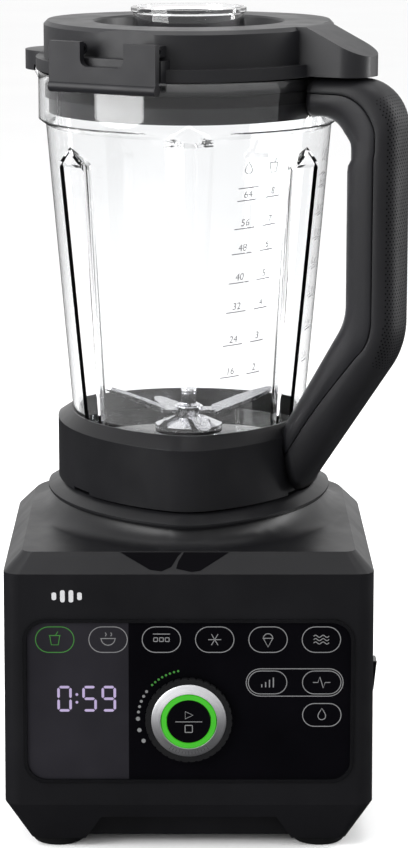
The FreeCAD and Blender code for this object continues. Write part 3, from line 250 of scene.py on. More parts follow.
NODE_MATERIALS = {
    HOUSING: ["main_housing", "bottom_tray"],
    COVER: ["top_cover"],
    LID: ["lid", "dial_hub"],
    LATCH: ["front_latch", "rear_latch"],
    COLLAR: ["jug_collar", "retaining_nut", "driven_coupling", "drive_coupling", "air_duct"],
    SHELL: ["handle_shell"],
    GRIP: ["handle_grip"],
    PANEL: ["control_panel", "start_button"],
    BEZEL: ["panel_bezel"],
    GLOSS: ["switch_housing", "power_rocker", "start_switch", "latch_pins"],
    RUBBER: ["rubber_feet", "jug_seat_pad", "splash_seal", "motor_mounts", "cord_inlet", "lid_seal"],
    DIAL_RUBBER: ["dial_grip"],
    SILICONE: ["shaft_seal", "blade_gasket"],
    NYLON: ["brush_holders", "cooling_fan", "dial_encoder", "display_module"],
    BOARD: ["control_board", "power_board"],
    CARBON: ["carbon_brushes"],
    GLASS: ["jug"],
    CAP_CLEAR: ["measuring_cap"],
    STEEL: ["lower_blade", "upper_blade"],
    ZINC: ["base_screws", "handle_screws", "upper_bracket", "lower_bracket", "upper_bearing",
           "lower_bearing", "motor_shaft", "blade_shaft", "blade_bearings"],
    CHROME: ["cap_nut", "blade_washer", "bearing_housing"],
    IRON: ["motor_stator", "rotor_core"],
    COPPER: ["field_windings", "commutator"],
    RING: ["dial_ring"],
    GREEN_LIGHT: ["light_ring"],
}
for material, names in NODE_MATERIALS.items():
    for name in names:
        mesh = NODES[name].data
        mesh.materials.clear()
        mesh.materials.append(material)


def soften(names, width, angle=28.0, segments=2):
    """Small moulded radius on a CAD node's sharp edges, as modifiers."""
    for name in names:
        node = NODES[name]
        weld = node.modifiers.new("weld", "WELD")
        weld.merge_threshold = 0.00002
        bevel = node.modifiers.new("edge_radius", "BEVEL")
        bevel.limit_method = "ANGLE"
        bevel.angle_limit = math.radians(angle)
        bevel.width = width
        bevel.segments = segments
        bevel.use_clamp_overlap = True
        bevel.harden_normals = False
        normals = node.modifiers.new("normals", "WEIGHTED_NORMAL")
        normals.keep_sharp = False


soften(["main_housing", "bottom_tray", "lid", "jug_collar"], 0.0006)
soften(["top_cover"], 0.0007)
soften(["front_latch", "rear_latch"], 0.0013, segments=3)
soften(["start_button", "dial_ring", "power_rocker", "switch_housing", "rubber_feet"], 0.0003)


# ---------------------------------------------------------------------------
# Mesh helpers
# ---------------------------------------------------------------------------
def finish_piece(obj, body, material, smooth=True):
    obj.data.materials.clear()
    obj.data.materials.append(material)
    if smooth:
        obj.data.polygons.foreach_set("use_smooth", [True] * len(obj.data.polygons))
    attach(obj, body)
    return obj


def mesh_object(name, verts, faces):
    mesh = bpy.data.meshes.new(name)
    mesh.from_pydata([tuple(v) for v in verts], [], faces)
    mesh.validate()
    obj = bpy.data.objects.new(name, mesh)
    bpy.context.scene.collection.objects.link(obj)
    return obj


def recalc_normals(obj):
    work = bmesh.new()
    work.from_mesh(obj.data)
    bmesh.ops.recalc_face_normals(work, faces=work.faces)
    work.to_mesh(obj.data)
    work.free()


def swept(sections, closed_ends=True):
    """Vertices and faces through equal-length closed rings of points."""
    count = len(sections[0])
    verts = [point for ring in sections for point in ring]
    faces = []
    for k in range(len(sections) - 1):
        a, b = k * count, (k + 1) * count
        for i in range(count):
            j = (i + 1) % count
            faces.append((a + i, a + j, b + j, b + i))
    if closed_ends:
        faces.append(tuple(reversed(range(count))))
        last = (len(sections) - 1) * count
        faces.append(tuple(range(last, last + count)))
    return verts, faces


class Sheet:
    """Collects thin flat prints that lie on a surface given by place(x, z, lift)."""

    def __init__(self, place, thickness=0.00012):
        self.place = place
        self.thickness = thickness
        self.verts = []
        self.faces = []

    def patch(self, outline):
        """Convex or star-shaped closed outline of (x, z) in millimetres."""
        base = len(self.verts)
        count = len(outline)
        for lift in (0.0, self.thickness):
            self.verts += [self.place(x, z, lift) for x, z in outline]
        self.faces.append(tuple(range(base + count, base + 2 * count)))
        self.faces.append(tuple(reversed(range(base, base + count))))
        for i in range(count):
            j = (i + 1) % count
            self.faces.append((base + i, base + j, base + count + j, base + count + i))

    def ribbon(self, points, width, closed=False):
        """Line of constant width through (x, z) points."""
        count = len(points)
        left, right = [], []
        for k, (x, z) in enumerate(points):
            before = points[k - 1] if k or closed else points[k]
            after = points[(k + 1) % count] if k < count - 1 or closed else points[k]
            d = Vector((after[0] - before[0], after[1] - before[1]))
            d.normalize()
            left.append((x - d.y * width / 2, z + d.x * width / 2))
            right.append((x + d.y * width / 2, z - d.x * width / 2))
        spans = count if closed else count - 1
        base = len(self.verts)
        for lift in (0.0, self.thickness):
            self.verts += [self.place(x, z, lift) for x, z in left]
            self.verts += [self.place(x, z, lift) for x, z in right]
        top = base + 2 * count
        for k in range(spans):
            n = (k + 1) % count
            self.faces.append((top + k, top + n, top + count + n, top + count + k))
            self.faces.append((base + n, base + k, base + count + k, base + count + n))
            self.faces.append((base + k, base + n, top + n, top + k))
            self.faces.append((base + count + n, base + count + k, top + count + k, top + count + n))
        if not closed:
            for k in (0, count - 1):
                self.faces.append((base + k, base + count + k, top + count + k, top + k))

    def make(self, name, body, material, slot_name):
        obj = mesh_object(name, self.verts, self.faces)
        recalc_normals(obj)
        return finish_piece(obj, body, material, smooth=False)


def arc_points(x, z, radius, start, end, steps=10):
    out = []
    for k in range(steps + 1):
        a = math.radians(start + (end - start) * k / steps)
        out.append((x + radius * math.cos(a), z + radius * math.sin(a)))
    return out


def stadium(x, z, width, height, corner=None, steps=8):
    """Closed outline of a rounded bar, round-ended unless a corner radius is given."""
    r = corner if corner is not None else height / 2
    dx, dz = width / 2 - r, height / 2 - r
    out = []
    for cx, cz, start in ((dx, dz, 0), (-dx, dz, 90), (-dx, -dz, 180), (dx, -dz, 270)):
        out += arc_points(x + cx, z + cz, r, start, start + 90, steps)
    return out


# ---------------------------------------------------------------------------
# Control panel print, display and dial marks
# ---------------------------------------------------------------------------
PANEL_LOW, PANEL_HIGH = corners("control_panel")
PANEL_Y = PANEL_LOW.y


def on_panel(x, z, lift):
    return Vector((x * MM, PANEL_Y - 0.00003 - lift, z * MM))


DIAL = centre("dial_ring")
DIAL_X, DIAL_Z = DIAL.x / MM, DIAL.z / MM
PILL = (19.9, 13.7)
SMALL_PILL = (20.0, 12.4)
TOP_ROW_Z = 116.0
TOP_ROW_FIRST = -69.3
TOP_ROW_STEP = 27.58
PAIR_Z = 92.9
PAIR_X = (40.9, 69.0)
CLEAN = (69.2, 75.3)
LINE = 0.42


def icon_cup(s, x, z):
    s.ribbon([(x - 2.6, z + 2.2), (x - 1.8, z - 2.8), (x + 1.8, z - 2.8), (x + 2.6, z + 2.2)], LINE)
    s.ribbon([(x - 3.0, z + 2.2), (x + 3.0, z + 2.2)], LINE)
    s.ribbon([(x + 0.4, z + 2.2), (x + 1.6, z + 4.3)], LINE)


def icon_bowl(s, x, z):
    s.ribbon(arc_points(x, z + 0.6, 3.6, 180, 360, 12), LINE)
    s.ribbon([(x - 4.0, z + 0.6), (x + 4.0, z + 0.6)], LINE)
    for dx in (-1.4, 1.4):
        s.ribbon([(x + dx, z + 1.8), (x + dx + 0.5, z + 2.8), (x + dx, z + 3.8)], LINE)


def icon_chop(s, x, z):
    for dx in (-3.0, 0.0, 3.0):
        s.ribbon(stadium(x + dx, z, 2.0, 2.0, 0.3, 2), LINE, True)
    s.ribbon([(x - 4.4, z + 3.0), (x + 4.4, z + 3.0)], LINE)


def icon_ice(s, x, z):
    for a in (0, 60, 120):
        c, d = 3.4 * math.cos(math.radians(a)), 3.4 * math.sin(math.radians(a))
        s.ribbon([(x - c, z - d), (x + c, z + d)], LINE)


def icon_cone(s, x, z):
    s.ribbon([(x - 2.4, z + 0.6), (x, z - 4.0), (x + 2.4, z + 0.6)], LINE)
    s.ribbon(arc_points(x, z + 0.8, 2.4, 0, 180, 10), LINE)
    s.ribbon([(x - 2.8, z + 0.7), (x + 2.8, z + 0.7)], LINE)


def icon_waves(s, x, z):
    for dz in (-1.8, 0.0, 1.8):
        points = [(x - 4 + 0.5 * k, z + dz + 0.6 * math.sin(k * 0.8)) for k in range(17)]
        s.ribbon(points, LINE)


def icon_levels(s, x, z):
    for k, h in enumerate((1.6, 2.8, 4.0, 5.2)):
        s.ribbon([(x - 3 + 2 * k, z - 2.6), (x - 3 + 2 * k, z - 2.6 + h)], 0.6)


def icon_pulse(s, x, z):
    s.ribbon([(x - 4.5, z), (x - 2, z), (x - 1, z + 3),
              (x + 0.8, z - 3), (x + 1.8, z), (x + 4.5, z)], LINE)


def icon_drop(s, x, z):
    s.ribbon([(x, z + 3.6), (x - 1.6, z + 0.9)] + arc_points(x, z - 0.6, 2.0, 150, 390, 14)
             + [(x + 1.6, z + 0.9)], LINE, True)


def make_panel_print():
    grey, green = Sheet(on_panel), Sheet(on_panel)
    icons = [icon_cup, icon_bowl, icon_chop, icon_ice, icon_cone, icon_waves]
    for k, icon in enumerate(icons):
        sheet = green if k == 0 else grey
        x = TOP_ROW_FIRST + k * TOP_ROW_STEP
        sheet.ribbon(stadium(x, TOP_ROW_Z, *PILL), LINE, True)
        icon(sheet, x, TOP_ROW_Z)
    for x, icon in zip(PAIR_X, (icon_levels, icon_pulse)):
        grey.ribbon(stadium(x, PAIR_Z, *SMALL_PILL), LINE, True)
        icon(grey, x, PAIR_Z)
    grey.ribbon(stadium(sum(PAIR_X) / 2, PAIR_Z, 50.3, 14.8), LINE, True)
    grey.ribbon(stadium(*CLEAN, *SMALL_PILL), LINE, True)
    icon_drop(grey, *CLEAN)
    # Texture steps beside the dial: coarse, medium and fine dots along an arc
    for first, last, count, size, sheet in ((207, 180, 3, 1.15, grey), (172, 146, 5, 0.8, grey),
                                            (136, 102, 8, 0.62, green)):
        for k in range(count):
            a = math.radians(first + (last - first) * k / (count - 1))
            x, z = DIAL_X + 26.4 * math.cos(a), DIAL_Z + 26.4 * math.sin(a)
            sheet.patch(arc_points(x, z, size, 0, 340, 9))
    grey.make("panel_print", "base", GREY_PRINT, "nylon_white")
    green.make("panel_print_lit", "base", GREEN_PRINT, "light_green")


def seven_segment(sheet, digit, x, z, width, height, bar):
    """One digit of the timer; x, z is its lower left corner."""
    lit = {0: "abcdef", 5: "afgcd", 9: "abcdfg"}[digit]
    gap = 0.35
    half = height / 2
    spans = {"a": ((0, height), (width, height)), "g": ((0, half), (width, half)),
             "d": ((0, 0), (width, 0)), "f": ((0, half), (0, height)),
             "b": ((width, half), (width, height)), "e": ((0, 0), (0, half)),
             "c": ((width, 0), (width, half))}
    for key in lit:
        (x0, z0), (x1, z1) = spans[key]
        d = Vector((x1 - x0, z1 - z0)).normalized()
        n = Vector((-d.y, d.x)) * bar / 2
        a = Vector((x + x0, z + z0)) + d * gap
        b = Vector((x + x1, z + z1)) - d * gap
        tip = d * bar / 2
        points = [a, a + tip + n, b - tip + n, b, b - tip - n, a + tip - n]
        sheet.patch([tuple(p) for p in points])


def make_display():
    digits = Sheet(on_window)
    height, width, bar = 12.6, 6.2, 1.35
    low = 77.8
    for digit, x in ((0, -67.6), (5, -54.6), (9, -44.6)):
        seven_segment(digits, digit, x, low, width, height, bar)
    for z in (low + 4.4, low + 8.6):
        digits.patch(arc_points(-58.1, z, 0.75, 0, 330, 11))
    digits.make("display_digits", "base", DIGITS, "nylon_white")


WINDOW_RIGHT = -31.2
WINDOW_LIFT = 0.00006


def on_window(x, z, lift):
    return Vector((x * MM, PANEL_Y - WINDOW_LIFT - 0.00003 - lift, z * MM))


def make_display_window():
    """Tinted window at the left of the panel, flush with it."""
    x0, x1 = PANEL_LOW.x / MM + 0.1, WINDOW_RIGHT
    z0, z1, r = PANEL_LOW.z / MM + 0.1, PANEL_HIGH.z / MM - 0.1, 9.9
    outline = [(x1, z0), (x1, z1)] + arc_points(x0 + r, z1 - r, r, 90, 180) + \
        arc_points(x0 + r, z0 + r, r, 180, 270)
    window = Sheet(lambda x, z, lift: Vector((x * MM, PANEL_Y - lift, z * MM)), WINDOW_LIFT)
    window.patch(outline)
    window.make("display_window", "base", WINDOW, "gloss_black")


BUTTON_Y = corners("start_button")[0].y


def make_button_marks():
    """Start triangle over a stop square, with a line between them."""
    marks = Sheet(lambda x, z, lift: Vector((x * MM, BUTTON_Y - 0.00003 - lift, z * MM)))
    marks.ribbon([(DIAL_X - 7, DIAL_Z), (DIAL_X + 7, DIAL_Z)], 0.35)
    z = DIAL_Z + 3.6
    marks.ribbon([(DIAL_X - 1.8, z - 2.0), (DIAL_X - 1.8, z + 2.0), (DIAL_X + 2.2, z)], LINE, True)
    z = DIAL_Z - 3.8
    marks.ribbon(stadium(DIAL_X, z, 3.8, 3.8, 0.3, 2), LINE, True)
    marks.make("button_marks", "start_key", GREY_PRINT, "nylon_white")


RING_INSIDE, RING_SLOPE = 14.6, 0.306    # cone of the dial's metal ring


def make_dial_marks():
    """Fine engraved ticks on the lower part of the metal ring."""
    front = corners("dial_ring")[0].y

    def on_ring(x, z, lift):
        fall = RING_SLOPE * (math.hypot(x - DIAL_X, z - DIAL_Z) - RING_INSIDE)
        return Vector((x * MM, front + (fall - 0.03) * MM - lift, z * MM))

    ticks = Sheet(on_ring, 0.00005)
    for k in range(13):
        a = math.radians(236 + 68 * k / 12)
        c, s = math.cos(a), math.sin(a)
        reach = (15.9, 18.3) if k % 3 == 0 else (16.6, 17.9)
        ticks.ribbon([(DIAL_X + r * c, DIAL_Z + r * s) for r in reach], 0.3)
    ink = print_ink("engraving_grey", (0.09, 0.09, 0.095))
    ticks.make("dial_ticks", "dial", ink, "gloss_black")


def make_front_mark():
    """Plain generic badge: four small rounded bars on the housing's upper left."""
    y = corners("main_housing")[0].y
    badge = Sheet(lambda x, z, lift: Vector((x * MM, y - 0.00002 - lift, z * MM)))
    for k, h in enumerate((4.0, 6.4, 6.4, 4.0)):
        badge.patch(stadium(-69.5 + 4.4 * k, 139.4, 2.4, h, 0.9, 4))
    badge.make("front_badge", "base", MARK, "nylon_white")


make_panel_print()
make_display_window()
make_display()
make_button_marks()
make_dial_marks()
make_front_mark()


# ---------------------------------------------------------------------------
# Painted reflection on the front chamfer: a dark glossy sheet in two lobes pointing down, standing
# for the dark reflection seen there
# ---------------------------------------------------------------------------
DECK_Z, CHAMFER_RUN = 160.5, 10.0
CHAMFER_NORMAL = Vector((0, -0.689, 0.725))


def make_chamfer_inlay():
    front = corners("top_cover")[0].y / MM
    edge = corners("main_housing")[1].z / MM

    def on_chamfer(x, t, lift):
        """t runs from 0 at the lower edge of the chamfer to 1 at the deck."""
        y = front + CHAMFER_RUN * t
        z = edge + (DECK_Z - edge) * t
        return Vector((x * MM, y * MM, z * MM)) + CHAMFER_NORMAL * (lift + 0.00004)

    # This dark glossy sheet is a painted reflection on the chamfer, not a real inlay in the housing
    reflection_sheet = Sheet(on_chamfer, 0.00008)
    reflection_sheet.patch([(-35.5, 0.97), (-20.0, 0.20), (-14.0, 0.13),
                 (-9.0, 0.32), (-5.5, 0.80), (-3.5, 0.97)])
    reflection_sheet.patch([(21.0, 0.97), (-2.5, 0.97), (-5.5, 0.55),
                 (-6.5, 0.25), (1.5, 0.10), (6.0, 0.16)])
    reflection_sheet.make("chamfer_painted_reflection", "base", PANEL, "gloss_black")


make_chamfer_inlay()


# ---------------------------------------------------------------------------
# Clear jug: even sections through the three-cornered wall with its pressed ribs
# ---------------------------------------------------------------------------
JUG_FLOOR, JUG_INSIDE, JUG_SHOULDER, NECK_Z, NECK_TOP = 204.0, 207.0, 372.0, 375.5, 401.2
JUG_WALL = 3.0
JUG_SOFT = 0.06
JUG_HOLE = 15.0
NECK_SHAPE = (82.5, 78.5, 60.0)
SPOUT_PHI, SPOUT_R = -120.0, 20.0
RIB_PHIS = (60.0, 180.0, 300.0)
RIB_STAND = 3.0
RIB_ROUND = 0.45    # share of each flank that the rounding of the tip takes up
RIB_LOW_Z, RIB_TOP_Z, RIB_PEAK_Z, RIB_FADE = 196.0, 352.0, 361.0, 3.0
RIB_LOW, RIB_TOP = (6.0, 8.0), (14.0, 10.5)    # half width and depth at RIB_LOW_Z and RIB_TOP_Z
SPOUT_LOW_Z = NECK_Z - 6
SPOUT_REACH, SPOUT_LEAN = 56.0, 20.0    # reach of the spout's centre, and its growth up to the rim
SPOUT_BLEND = 1.6
RIM_Z = 399.9    # where the rounding of the rim starts
SECTION_STEP = 4.0
WALL_STEPS = 96     # points of a section between two ribs
NECK_SECTIONS = [JUG_SHOULDER, 372.9, 373.8, 374.7, NECK_Z, 377, 380, 384, 388, 392, 396, 399.5]


def jug_shape(z):
    """Corner reach, side reach and corner radius of the wall."""
    mean = 63.0 + 14.7 * (z - JUG_FLOOR) / (JUG_SHOULDER - JUG_FLOOR)
    return mean * (1 + JUG_SOFT), mean * (1 - JUG_SOFT), 0.36 * mean


def outline_reach(shape, phi):
    """Reach of a three-cornered outline of six tangent arcs in direction phi."""
    corner_reach, side_reach, corner_r = shape
    near, far = side_reach - corner_r, corner_reach - corner_r
    s = (near * near - far * far) / (far - 2 * near)
    side_r = side_reach + s
    side_centre = Vector((-s * 0.5, -s * math.sqrt(0.75)))
    ray = Vector((far, 0.0)) - side_centre
    tangent = side_centre + ray * (side_r / ray.length)
    a = abs((phi + 60.0) % 120.0 - 60.0)
    if math.radians(a) < math.atan2(tangent.y, tangent.x):
        a = math.radians(a)
        return far * math.cos(a) + math.sqrt(corner_r ** 2 - (far * math.sin(a)) ** 2)
    b = math.radians(60.0 - a)
    return math.sqrt(side_r ** 2 - (s * math.sin(b)) ** 2) - s * math.cos(b)


def wall_reach(phi, z, grow):
    """Reach of the wall in direction phi at height z, with the neck and the spout."""
    if z <= JUG_SHOULDER:
        shape = jug_shape(z)
    else:
        f = min(1.0, (z - JUG_SHOULDER) / (NECK_Z - JUG_SHOULDER))
        shape = tuple(a + (b - a) * f for a, b in zip(jug_shape(JUG_SHOULDER), NECK_SHAPE))
    reach = outline_reach([v + grow for v in shape], phi)
    if z > SPOUT_LOW_Z:
        centre_reach = SPOUT_REACH + SPOUT_LEAN * (z - SPOUT_LOW_Z) / (NECK_TOP - SPOUT_LOW_Z)
        turn = math.radians(phi - SPOUT_PHI)
        inside = (SPOUT_R + grow) ** 2 - (centre_reach * math.sin(turn)) ** 2
        if inside > 0 and math.cos(turn) > 0:
            horn = centre_reach * math.cos(turn) + math.sqrt(inside)
            gap = horn - reach
            if gap > SPOUT_BLEND:
                reach = horn
            elif gap > -SPOUT_BLEND:
                reach += (gap + SPOUT_BLEND) ** 2 / (4 * SPOUT_BLEND)
    return reach


def rib_section(z, grow):
    """Half width at the wall's surface and reach of the tip of a rib."""
    def at(height, half, depth):
        surface = jug_shape(height)[1]
        half_out = (half + grow) * (1 + RIB_STAND / depth)
        return surface + RIB_STAND, half_out, surface - depth - 1.4 * grow
    low_z, shoulder_z, peak_z = RIB_LOW_Z, RIB_TOP_Z + grow, RIB_PEAK_Z + 1.5 * grow
    low, high = at(low_z, *RIB_LOW), at(shoulder_z, *RIB_TOP)
    peak = jug_shape(peak_z)[1] + RIB_STAND
    if z <= shoulder_z:
        f = (z - low_z) / (shoulder_z - low_z)
        outer, spread_out, tip = (a + (b - a) * f for a, b in zip(low, high))
    else:
        f = min(1.0, (z - shoulder_z) / (peak_z + RIB_FADE - shoulder_z))
        outer, spread_out, tip = (a + (b - a) * f for a, b in zip(high, (peak, 0.0, peak)))
    return outer, spread_out, tip


def rounded_rib(left, tip, right):
    """Both flanks of a rib from its left to its right edge, with a rounded tip."""
    before = left.lerp(tip, 1 - RIB_ROUND)
    after = right.lerp(tip, 1 - RIB_ROUND)
    straight, turn = 4, 10
    points = [left.lerp(before, i / straight) for i in range(straight)]
    for i in range(turn):
        t = i / turn
        points.append(before.lerp(tip, t).lerp(tip.lerp(after, t), t))
    return points + [after.lerp(right, i / straight) for i in range(straight)]


def jug_ring(z, inner):
    """One section: wall points between the ribs, then both flanks of each rib."""
    grow = -JUG_WALL if inner else 0.0
    rib_grow = JUG_WALL if inner else 0.0
    outer, spread_out, tip = rib_section(z, rib_grow)
    surface = wall_reach(60.0, z, grow)
    half = 0.0
    if tip < surface and spread_out > 0:
        half = spread_out * (surface - tip) / max(outer - tip, 1e-6)
    tip = min(tip, surface)
    edge = math.degrees(math.atan2(half, surface))
    ring = []
    for rib in RIB_PHIS:
        tip_point = polar(tip, rib, z)
        left = polar(wall_reach(rib - edge, z, grow), rib - edge, z)
        right = polar(wall_reach(rib + edge, z, grow), rib + edge, z)
        ring += rounded_rib(left, tip_point, right)
        span = 120.0 - 2 * edge
        for i in range(WALL_STEPS):
            phi = rib + edge + span * i / WALL_STEPS
            ring.append(polar(wall_reach(phi, z, grow), phi, z))
    return ring


def make_jug_wall():
    """One closed mesh: outer wall, rounded rim, inner wall, floor with its hole."""
    rib_top = [RIB_TOP_Z + 0.75 * k for k in range(17)]
    outer_z = [JUG_FLOOR + SECTION_STEP * k for k in range(38)] + rib_top + [365.5, 368, 370]
    inner_z = ([JUG_INSIDE + SECTION_STEP * k for k in range(37)] + [z + 1.5 for z in rib_top]
               + [367, 369.5])
    outer_z, inner_z = sorted(set(outer_z + NECK_SECTIONS)), sorted(set(inner_z + NECK_SECTIONS))
    rings = [jug_ring(z, False) for z in outer_z]
    # Rounded rim between the outer and the inner wall
    outside, inside = jug_ring(RIM_Z, False), jug_ring(RIM_Z, True)
    for k in range(1, 8):
        a = math.pi * k / 8
        share, rise = (1 - math.cos(a)) / 2, math.sin(a) * (NECK_TOP - RIM_Z)
        up = Vector((0, 0, rise * MM))
        rings.append([p.lerp(q, share) + up for p, q in zip(outside, inside)])
    rings += [jug_ring(z, True) for z in reversed(inner_z)]
    for z, shares in ((JUG_INSIDE, (0.3, 0.7, 1.0)), (JUG_FLOOR, (1.0, 0.7, 0.3))):
        edge_ring = jug_ring(z, z == JUG_INSIDE)
        up = Vector((0, 0, z * MM))
        hole = [Vector((p.x, p.y, 0)).normalized() * JUG_HOLE * MM + up for p in edge_ring]
        rings += [[p.lerp(q, share) for p, q in zip(edge_ring, hole)] for share in shares]
    rings.append(rings[0])
    count = len(rings[0])
    verts = [p for ring in rings[:-1] for p in ring]
    faces = []
    total = len(rings) - 1
    for k in range(total):
        a, b = k * count, ((k + 1) % total) * count
        for i in range(count):
            j = (i + 1) % count
            faces.append((a + i, a + j, b + j, b + i))
    obj = mesh_object("jug_clear_wall", verts, faces)
    work = bmesh.new()
    work.from_mesh(obj.data)
    bmesh.ops.remove_doubles(work, verts=work.verts, dist=0.000004)
    bmesh.ops.recalc_face_normals(work, faces=work.faces)
    work.to_mesh(obj.data)
    work.free()
    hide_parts("jug")
    finish_piece(obj, "jug_set", GLASS)
    obj.data.set_sharp_from_angle(angle=math.radians(32))


make_jug_wall()


# ---------------------------------------------------------------------------
# Printed scale on the jug wall
# ---------------------------------------------------------------------------
def jug_point(phi, z, lift):
    """Point just off the jug's outer wall in direction phi at height z (millimetres)."""
    return polar(wall_reach(phi, z, 0.0) + 0.05 + lift / MM, phi, z)


OUNCES = {64: 340.3, 56: 325.7, 48: 312.6, 40: 297.3, 32: 281.9, 24: 264.4, 16: 247.4}
BRIM_LINE = 346.8
WALL_MM_PER_DEGREE = 1.27
SCALE_TOP = 340.3
SCALE_LEAN = 0.060    # degrees round the jug for each mm down
LINE_RISE = 0.045     # rise of a line along its length
LINE_HALF = 0.26      # half the height of a line


def text_outline(text, size):
    """Flat mesh of a plain numeral: vertices in millimetres and faces."""
    curve = bpy.data.curves.new("numeral", "FONT")
    curve.body = text
    curve.size = size
    curve.align_x = "CENTER"
    curve.resolution_u = 3
    obj = bpy.data.objects.new("numeral", curve)
    bpy.context.scene.collection.objects.link(obj)
    bpy.context.view_layer.update()
    mesh = bpy.data.meshes.new_from_object(obj)
    verts = [(v.co.x, v.co.y) for v in mesh.vertices]
    faces = [tuple(p.vertices) for p in mesh.polygons]
    bpy.data.objects.remove(obj)
    bpy.data.curves.remove(curve)
    bpy.data.meshes.remove(mesh)
    return verts, faces


def make_scale(name, phi0, phi_step, values_left, values_right):
    """Two columns of lines and numerals; phi0 is the left column's direction at 64."""
    sheet = Sheet(lambda x, z, lift: jug_point(x, z, lift), 0.00006)

    def column(phi, z):
        """Direction of a column at height z: both lean with the jug's taper."""
        return phi - SCALE_LEAN * (SCALE_TOP - z)

    def line(phi, z, half):
        steps = 8
        base = len(sheet.verts)
        for k in range(steps + 1):
            across = half * (2 * k / steps - 1)
            direction = column(phi, z) + across / WALL_MM_PER_DEGREE
            for dz in (-LINE_HALF, LINE_HALF):
                height = z + LINE_RISE * across + dz
                sheet.verts.append(jug_point(direction, height, 0.00004))
        for k in range(steps):
            a = base + 2 * k
            sheet.faces.append((a, a + 2, a + 3, a + 1))

    def numeral(text, phi, z, size):
        verts, faces = text_outline(text, size)
        base = len(sheet.verts)
        for x, y in verts:
            across = x + 0.12 * y
            sheet.verts.append(jug_point(column(phi, z) + across / WALL_MM_PER_DEGREE,
                                         z + y + LINE_RISE * across, 0.00004))
        sheet.faces += [tuple(base + i for i in face) for face in faces]

    for ounces, z in OUNCES.items():
        if values_left:
            line(phi0, z, 6.0)
            numeral(str(ounces), phi0, z + 1.3, 5.2)
        if values_right:
            line(phi0 + phi_step, z + 0.8, 4.8)
            numeral(str(ounces // 8), phi0 + phi_step, z + 2.1, 5.2)
    line(phi0, BRIM_LINE, 6.0)
    # Heading marks: a small drop over the first column, a small cup over the second
    heading = Sheet(lambda x, z, lift: jug_point(x / WALL_MM_PER_DEGREE + phi0, z, lift), 0.00006)
    icon_drop(heading, 0, 356.5)
    if values_right:
        icon_cup(heading, phi_step * WALL_MM_PER_DEGREE, 356.5)
    base = len(sheet.verts)
    sheet.verts += heading.verts
    sheet.faces += [tuple(base + i for i in face) for face in heading.faces]
    obj = mesh_object(name, sheet.verts, sheet.faces)
    return finish_piece(obj, "jug_set", SCALE_INK, smooth=False)


make_scale("jug_scale_front", 24.0, 12.6, True, True)
make_scale("jug_scale_side", 82.0, 11.0, True, False)


# ---------------------------------------------------------------------------
# Handle: carrier and soft grip swept along the same line
# ---------------------------------------------------------------------------
HANDLE_PHI = 60.0
HALF_WIDTH = 14.9
SQUARENESS = 3.0    # exponent of the handle's rounded cross-section


def rounded_path(points, steps):
    """Resampled outline of (reach, height, radius); steps gives samples for each line and arc."""
    out = []
    place = [Vector((p[0], p[1])) for p in points]
    cursor = place[0]
    for k in range(1, len(points)):
        if k < len(points) - 1:
            back = (place[k - 1] - place[k]).normalized()
            ahead = (place[k + 1] - place[k]).normalized()
            half = back.angle(ahead) / 2
            reach = points[k][2] / math.tan(half)
            start, end = place[k] + back * reach, place[k] + ahead * reach
            middle = place[k] + (back + ahead).normalized() * (points[k][2] / math.sin(half))
        else:
            start = place[k]
        n = steps[2 * (k - 1)]
        out += [cursor.lerp(start, i / n) for i in range(n)]
        if k < len(points) - 1:
            a0 = math.atan2(start.y - middle.y, start.x - middle.x)
            a1 = math.atan2(end.y - middle.y, end.x - middle.x)
            turn = (a1 - a0 + math.pi) % (2 * math.pi) - math.pi
            n = steps[2 * k - 1]
            radius = points[k][2]
            for i in range(n):
                a = a0 + turn * i / n
                out.append(middle + Vector((math.cos(a), math.sin(a))) * radius)
            cursor = end
    out.append(place[-1])
    return out


HANDLE_STEPS = [6, 12, 26, 10, 14]
INNER = rounded_path([(78.2, 380.6, 0), (98.1, 380.6, 15), (98.1, 276.5, 30), (63.0, 217.0, 0)],
                     HANDLE_STEPS)
OUTER = rounded_path([(78.2, 401.1, 0), (126.9, 401.1, 25), (126.9, 262, 45), (71.2, 180.7, 0)],
                     HANDLE_STEPS)


def smoothstep(a, b, x):
    t = max(0.0, min(1.0, (x - a) / (b - a)))
    return t * t * (3 - 2 * t)


def handle_station(k):
    """Inner point, outer point and seam share at station k."""
    inner, outer = INNER[k].copy(), OUTER[k]
    share = k / (len(INNER) - 1)
    if inner.x > 96.5 and inner.y > 300:
        inner.x += 2.2 * smoothstep(355.5, 358.5, inner.y) * (1 - smoothstep(366, 374, inner.y))
    seam = 0.62 + 0.02 * smoothstep(0.05, 0.25, share) - 0.20 * smoothstep(0.70, 0.95, share)
    return inner, outer, seam


def handle_ring(k, part):
    """Cross-section of the carrier (part 0) or of the grip (part 1) at station k."""
    inner, outer, seam = handle_station(k)
    middle = (inner + outer) / 2
    half = (outer - inner).length / 2
    out_dir = (outer - inner).normalized()
    cut = (2 * seam - 1) * half
    ring = []
    samples = 64
    groove = 0.28
    for i in range(samples):
        a = 2 * math.pi * i / samples
        c, s = math.cos(a), math.sin(a)
        t = math.copysign(abs(c) ** (2 / SQUARENESS), c) * HALF_WIDTH
        n = math.copysign(abs(s) ** (2 / SQUARENESS), s) * half
        if part == 1:
            n = max(n, cut + groove)
        else:
            n = min(n, cut - groove)
        ring.append((t, n))
    # Ease the seam edges inward a little so that they catch the light
    points = []
    for t, n in ring:
        near = max(0.0, 1 - abs(n - cut - (groove if part else -groove)) / 1.2)
        t *= 1 - 0.035 * near * near
        flat = middle + out_dir * n
        points.append(polar(flat.x, HANDLE_PHI, flat.y, t))
    return points


